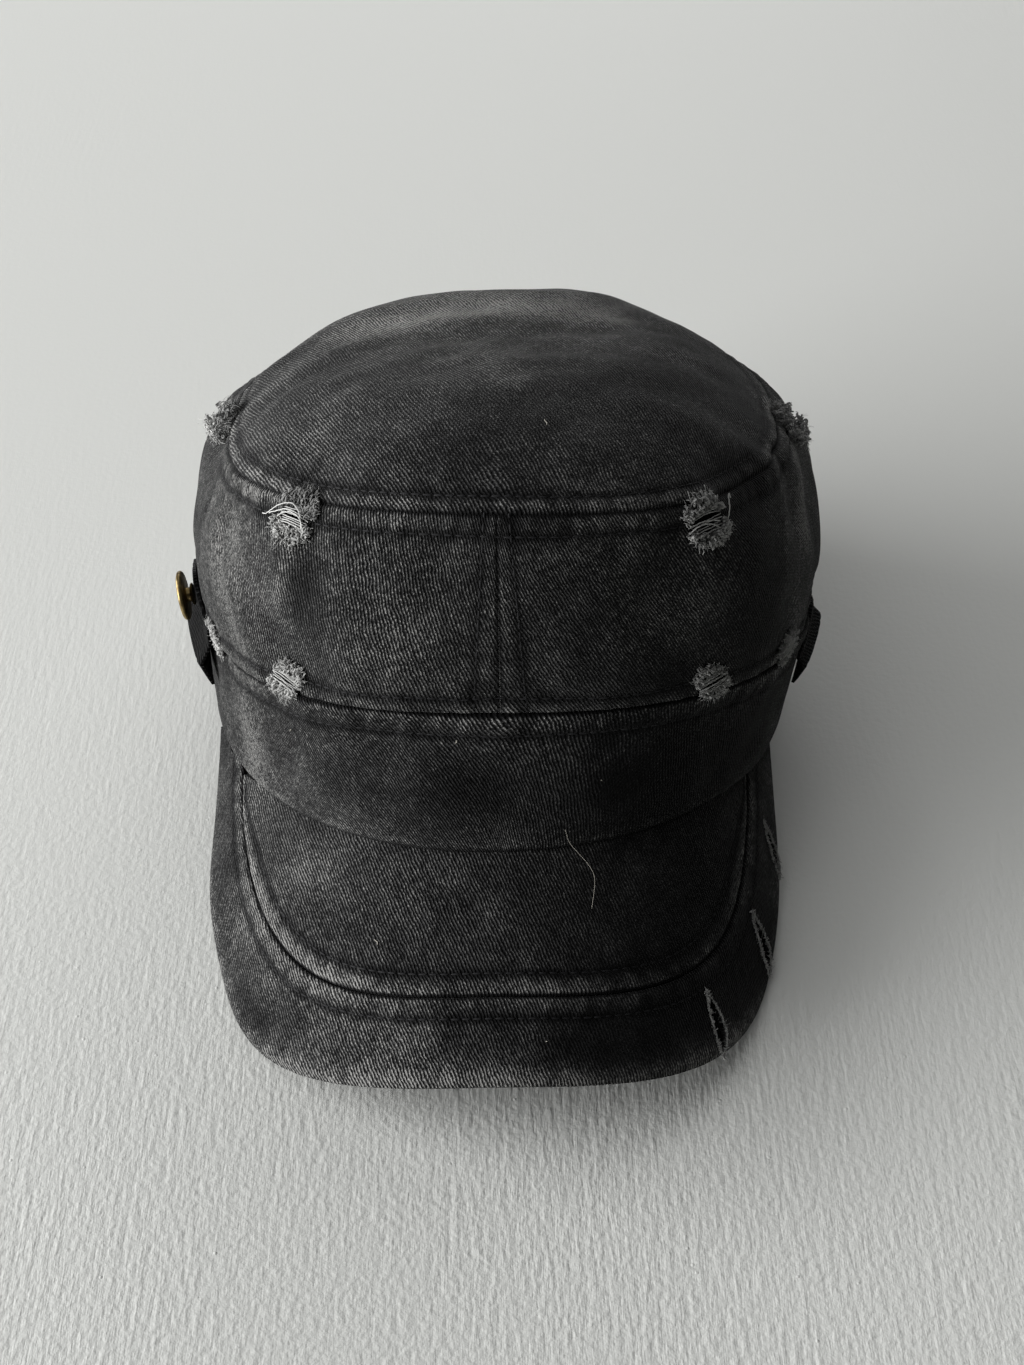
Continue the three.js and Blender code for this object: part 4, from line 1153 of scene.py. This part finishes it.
def smooth_line(points, count):
    """A line through the points, rounded between them."""
    points = np.array(points, dtype=float)
    ends = np.concatenate([[2 * points[0] - points[1]], points, [2 * points[-1] - points[-2]]])
    line = []
    for k in range(len(points) - 1):
        a, b, c, d = ends[k:k + 4]
        for t in np.linspace(0, 1, count, endpoint=False):
            line.append(0.5 * (2 * b + (c - a) * t + (2 * a - 5 * b + 4 * c - d) * t ** 2
                               + (3 * b - a - 3 * c + d) * t ** 3))
    return np.array(line + [points[-1]])


def yarn_piece(name, bundle, sides=5, shake=0.0, winding=1.0, seed=0.0, material=PALE_YARN):
    """A piece of the cap from a bundle of yarns, shaken by a distance in millimetres."""
    lines, radii, tones = bundle
    mesh = routes_mesh(f"{name}_routes", lines, radius=radii, tone=tones)
    return grown(name, mesh, YARNS, {
        "Sides": sides, "Shake": shake * MM, "Curl": winding, "Seed": seed, "Material": material})


for number, (place, tear) in enumerate(TEARS.items()):
    bundle = fringe(place, tear, 100 + number)
    tuft = yarn_piece(f"worn_{place}", bundle, shake=0.45, winding=1100.0, seed=float(number))
    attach(tuft, "root")
    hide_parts(f"fray_{place}")


# ---- Slash fringes ---------------------------------------------------------------------
# The two lips of each slash in the border are frayed into a pale fuzzy line.

def slash_fringe():
    """The yarns along both lips of every slash: small curled ends and fine fuzz."""
    random = np.random.default_rng(7)
    part = np.linspace(0, 1, 6)
    bundle = [], [], []
    for slash in SLASHES:
        _, run, across = slash_frame(slash)
        way = unit(run)
        for side in (-1, 1):
            for root in slash_lip(slash, np.linspace(0, 1, 130), side):
                root = root + across * random.normal(0, 0.07)
                middle = np.array([*root, random.uniform(0.0, 0.5)])
                line = curl(random, middle, random.uniform(0.06, 0.18), len(part))
                line = line + np.outer(part - 0.5, [*way, 0]) * random.normal(0, 0.6)
                add_yarn(bundle, line, random.uniform(0.06, 0.14), random.uniform(0.3, 1.05))
            for root in slash_lip(slash, random.uniform(0, 1, 30), side):
                line = np.array([*root, 0.4]) + np.outer(part, random.normal(size=3) * [0.6, 0.6, 0.5])
                add_fuzz(random, bundle, line + np.outer(part * (1 - part), random.normal(size=3)))
    spots = np.array(bundle[0])
    base = peak_surface(spots[..., 0], spots[..., 1])
    out = unit(peak_surface(spots[..., 0], spots[..., 1], 1.0) - base)
    return list(base + out * spots[..., 2:]), *bundle[1:]


slashes = yarn_piece("slash_fringes", slash_fringe(), shake=0.22, winding=1500.0, seed=21.0)
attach(slashes, "root")


# ---- Strap tabs ------------------------------------------------------------------------
# A short tab of folded black cotton webbing on each side, caught in the band seam and
# pinched into a fold that stands off the cap, stitched along its edges.

TABS = {
    "left": dict(angle=-80, low=39, high=65, pinch_at=46.6, above=5.5, below=7, pinch=4.9),
    "right": dict(angle=75, low=44, high=58, pinch_at=50, above=2.6, below=6, pinch=3.2),
}
TAB = dict(spread=6.5, clear=0.5, thick=1.6, back_more=0.2, ends_rise=1, ends_fall=3,
           half_width=9.5, stitch=2.2)


def side_point(angle, height):
    """The crown's side at an angle and a height above the floor, and its outward normal."""
    low, high = np.full_like(angle, -0.66), np.full_like(angle, 1.0)
    for _ in range(30):
        middle = (low + high) / 2
        below = on_crown(angle, middle)[..., 2] < height
        low, high = np.where(below, middle, low), np.where(below, high, middle)
    return on_crown(angle, low), unit(np.cross(*crown_ways(angle, low, 0.03, 0.08)))


def make_tab(name, tab):
    k, v = np.meshgrid(np.linspace(-1, 1, 33), np.linspace(0, 1, 61), indexing="ij")
    low = tab["low"] + TAB["ends_rise"] * k * k
    high = tab["high"] - TAB["ends_fall"] * k * k
    height = low + (high - low) * v
    points, n = side_point(np.radians(tab["angle"] + k * TAB["spread"]), height)
    above = height - tab["pinch_at"]
    fold = clamp(1 - np.abs(above) / np.where(above > 0, tab["above"], tab["below"]))
    pinch = fold * (1 + TAB["back_more"] * (k * np.sign(tab["angle"]) - 1))
    lift = TAB["clear"] + tab["pinch"] * pinch
    side_gap = (1 - np.abs(k)) * TAB["half_width"]
    end_gap = np.minimum(v, 1 - v) * (tab["high"] - tab["low"])
    rounded = -0.5 * bell(np.minimum(side_gap, end_gap), 0.7)
    sewn = -0.18 * bell(side_gap - TAB["stitch"], 0.5)
    outer = points + n * (lift + TAB["thick"] + rounded + sewn)[..., None]
    inner = points + n * (lift - rounded * 0.6)[..., None]
    return shell(name, outer, inner, wale_places(k * TAB["half_width"], height, 45), 0 * k)


# Black cotton webbing, dull and nearly unwashed.
STRAP_COTTON = washed_twill("strap_cotton", 0.07, weave_contrast=0.22, fade_contrast=0.12)
for hand, tab in TABS.items():
    strap = make_tab(f"tab_{hand}", tab)
    strap.data.materials.append(STRAP_COTTON)
    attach(strap, "root")
    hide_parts(f"strap_tab_{hand}")


# ---- Button ----------------------------------------------------------------------------
# A small pressed brass button on a post through the left tab, leaning a little to the back, its brass
# mottled brighter and darker.

BUTTON = dict(angle=-80, facing=-88, height=61, stand_off=5.6, radius=7, thick=1.5, lip=0.35, post=2,
              foot=3, clear=0.6)


def make_button():
    b = BUTTON
    radius, middle, post, half = b["radius"], b["stand_off"], b["post"], b["thick"] / 2
    base, back, face = TAB["clear"] + TAB["thick"] + b["clear"], middle - half, middle + half
    bead = [(radius - half + half * c, middle + half * s)
            for c, s in map(cos_sin, np.linspace(-90, 90, 13))]
    # Radius and height, from the foot up the post, round the rim and over the dished face.
    profile = [(0, base), (b["foot"], base), (b["foot"] + 0.15, base + 0.25), (b["foot"], base + 0.5),
               (post, base + 0.9), (post, back - 0.3), (post + 0.4, back), *bead,
               (radius - 1.2, face - 0.1), (radius - 1.6, face - b["lip"]),
               (radius - 2.6, face - b["lip"]), (radius - 3.0, face - 0.2),
               (radius - 3.4, face - 0.16), (post + 0.6, face - 0.02), (post - 0.4, face + 0.02),
               (0, face + 0.03)]
    (spot, _), (_, way) = side_point(np.radians([b["angle"], b["facing"]]), np.full(2, float(b["height"])))
    turn = Vector((0, 0, 1)).rotation_difference(Vector(way)).to_matrix()
    around = [cos_sin(degrees) for degrees in range(0, 360, 6)]
    count = len(around)
    points = [(r * c, r * s, h) for r, h in profile[1:-1] for c, s in around]
    points += [(0, 0, profile[0][1]), (0, 0, profile[-1][1])]
    last = (len(profile) - 3) * count
    faces = []
    for start in range(0, last, count):
        for k in range(count):
            a, c = start + k, start + (k + 1) % count
            faces.append((a, c, c + count, a + count))
    faces += [((k + 1) % count, k, len(points) - 2) for k in range(count)]
    faces += [(last + k, last + (k + 1) % count, len(points) - 1) for k in range(count)]
    mesh = bpy.data.meshes.new("button")
    spot = Vector((spot - CAP_MIDDLE) * MM)
    mesh.from_pydata([turn @ Vector(p) * MM + spot for p in points], [], faces)
    return rounded_piece(mesh, 50)


def mapped(tree, value, given, result):
    """A value moved from one range to another, and kept inside it."""
    ends = {"From Min": given[0], "From Max": given[1], "To Min": result[0], "To Max": result[1]}
    return put(tree, "ShaderNodeMapRange", {"Value": value, **ends}).outputs[0]


def old_brass():
    """Brass mottled at random: darker and rougher in places, brighter and smoother in others."""
    material, tree, place = new_surface("old_brass")
    age = noise(tree, place, 420, 4.0, 0.65)
    rough = mapped(tree, age, (0, 1), (0.5, 0.28))
    tree.links.new(rough, tree.nodes["Principled BSDF"].inputs["Roughness"])
    stops = [(0.38, (0.16, 0.115, 0.05)), (0.68, (0.50, 0.38, 0.18))]
    finish_surface(tree, ramp(tree, age, stops), age, 0.00008, 0.5, Metallic=1.0)
    return material


button = make_button()
button.data.materials.append(old_brass())
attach(button, "root")
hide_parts("snap_button")


# ---- Stray hair and lint ---------------------------------------------------------------
# One fine pale hair lies over the front of the rim and the peak, with a few specks of lint.

HAIR = dict(thick=0.06, colour=((0.18, 0.17, 0.14), (0.42, 0.4, 0.35)))
# Specks of lint: piece of the cap, its two numbers there, and their length.
LINT = [("band", -35, 0.725, 0.9), ("band", -4, 0.806, 0.8), ("band", 14, 0.5, 0.5),
        ("peak", 48.5, 31.5, 1.0), ("peak", -30, 20, 0.7), ("top", -93, 0.988, 1.6),
        ("top", 12, 0.7, 0.6), ("peak", 12, 47, 0.6)]


def make_hair():
    """The hair as one line over rim and peak, and each speck of lint as a small curl."""
    on_band = band_surface(np.radians([10.5, 12.5]), np.array([0.144, 0.03])) + np.array([0, -0.5, 0.5])
    on_peak = peak_surface(np.array([24.0, 25.5, 24.5]), np.array([2.0, 6.0, 13.5]), 0.5)
    bundle = [], [], []
    add_yarn(bundle, smooth_line(np.concatenate([on_band, on_peak]), 8), HAIR["thick"], 1.0)
    random = np.random.default_rng(17)
    places = {"band": lambda a, s: band_surface(np.radians(a), np.array(s)),
              "top": lambda a, r: top_surface(np.radians(a), np.array(r)), "peak": peak_surface}
    for where, first, second, length in LINT:
        spot = places[where](np.array(float(first)), second)
        speck = curl(random, spot + unit(spot - HEAD) * 0.6, length / 4, 7)
        add_yarn(bundle, speck, length * 0.16, 1.0)
    return yarn_piece("hair_and_lint", bundle, sides=6, material=pale_yarn("pale_hair", *HAIR["colour"]))


hair = make_hair()
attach(hair, "root")


# ---- Floor, light and camera -----------------------------------------------------------
# A pale matt surface beside a wide window on the left, whose light comes back softly from the
# wall, from the ceiling behind the cap, and from low down behind it.

bpy.context.scene.view_settings.view_transform = "Standard"

floor_mesh = bpy.data.meshes.new("floor")
floor_mesh.from_pydata([(-3, -3, 0), (3, -3, 0), (3, 3, 0), (-3, 3, 0)], [], [(0, 1, 2, 3)])
floor = placed("floor", floor_mesh)


def brushed_paint():
    """Pale paint with long brush strokes from front to back and a few grains in it."""
    material, tree, place = new_surface("pale_paint")
    lines = {"Vector": place, "Rotation": (0, 0, 0.12), "Scale": (1, 0.16, 1)}
    strokes = noise(tree, put(tree, "ShaderNodeMapping", lines).outputs[0], 560, 3.0, 0.6)
    grains = put(tree, "ShaderNodeTexVoronoi", {"Vector": place, "Scale": 120.0}).outputs["Distance"]
    back = put(tree, "ShaderNodeSeparateXYZ", {"Vector": place}).outputs["Y"]
    grain = mapped(tree, grains, (0.02, 0.06), (1.0, 0.0))
    depth = mapped(tree, noise(tree, place, 6.0), (0.35, 0.65), (0.4, 1.0))
    smooth = mapped(tree, back, (-0.16, 0.12), (1.0, 0.15))
    height = scaled(tree, grain, 0.3, calc(tree, "MULTIPLY", strokes, depth))
    height = scaled(tree, noise(tree, place, 520, 2.0, 0.5), 0.7, height)
    finish_surface(tree, (0.79, 0.80, 0.77), calc(tree, "MULTIPLY", height, smooth), 0.00034,
                   Roughness=0.7)
    return material


floor_mesh.materials.append(brushed_paint())


def soft_light(name, place, size, power):
    """A rectangle of light, so many watts, turned towards the middle of the cap."""
    lamp = bpy.data.lights.new(name, "AREA")
    lamp.shape = "RECTANGLE"
    lamp.size, lamp.size_y = size
    lamp.energy = power
    fitting = placed(name, lamp)
    fitting.location = place
    fitting.rotation_euler = (-Vector(place)).to_track_quat("-Z", "Y").to_euler()


soft_light("window", (-2.51, -0.31, 0.59), (3.0, 1.2), 143)
soft_light("wall_bounce", (-1.30, -0.47, 2.21), (2.0, 2.0), 15)
soft_light("ceiling_bounce", (0.35, 1.95, 1.75), (2.4, 1.8), 17)
soft_light("low_back_light", (0.27, 2.55, 0.45), (1.1, 1.1), 15)
world = bpy.data.worlds.new("room")
world.use_nodes = True
world.node_tree.nodes["Background"].inputs["Color"].default_value = (1.0, 0.97, 0.92, 1)
world.node_tree.nodes["Background"].inputs["Strength"].default_value = 0.008
bpy.context.scene.world = world

CAMERA = dict(target=(0.00253, 0.00329, 0.0307), distance=0.5753, elevation=42.4, roll=-0.88, lens=52.75)
elevation, roll = math.radians(CAMERA["elevation"]), math.radians(CAMERA["roll"])
back_way = Vector((0, -math.cos(elevation), math.sin(elevation)))
up_way = Vector((0, math.sin(elevation), math.cos(elevation)))
right_way = Vector((1, 0, 0)) * math.cos(roll) + up_way * math.sin(roll)
up_way = up_way * math.cos(roll) - Vector((1, 0, 0)) * math.sin(roll)
view = bpy.data.cameras.new("camera")
view.lens = CAMERA["lens"]
view.sensor_width = 36
camera = placed("camera", view)
turned = Matrix((right_way, up_way, back_way)).transposed().to_4x4()
camera.matrix_world = Matrix.Translation(Vector(CAMERA["target"]) + back_way * CAMERA["distance"]) @ turned
bpy.context.scene.camera = camera
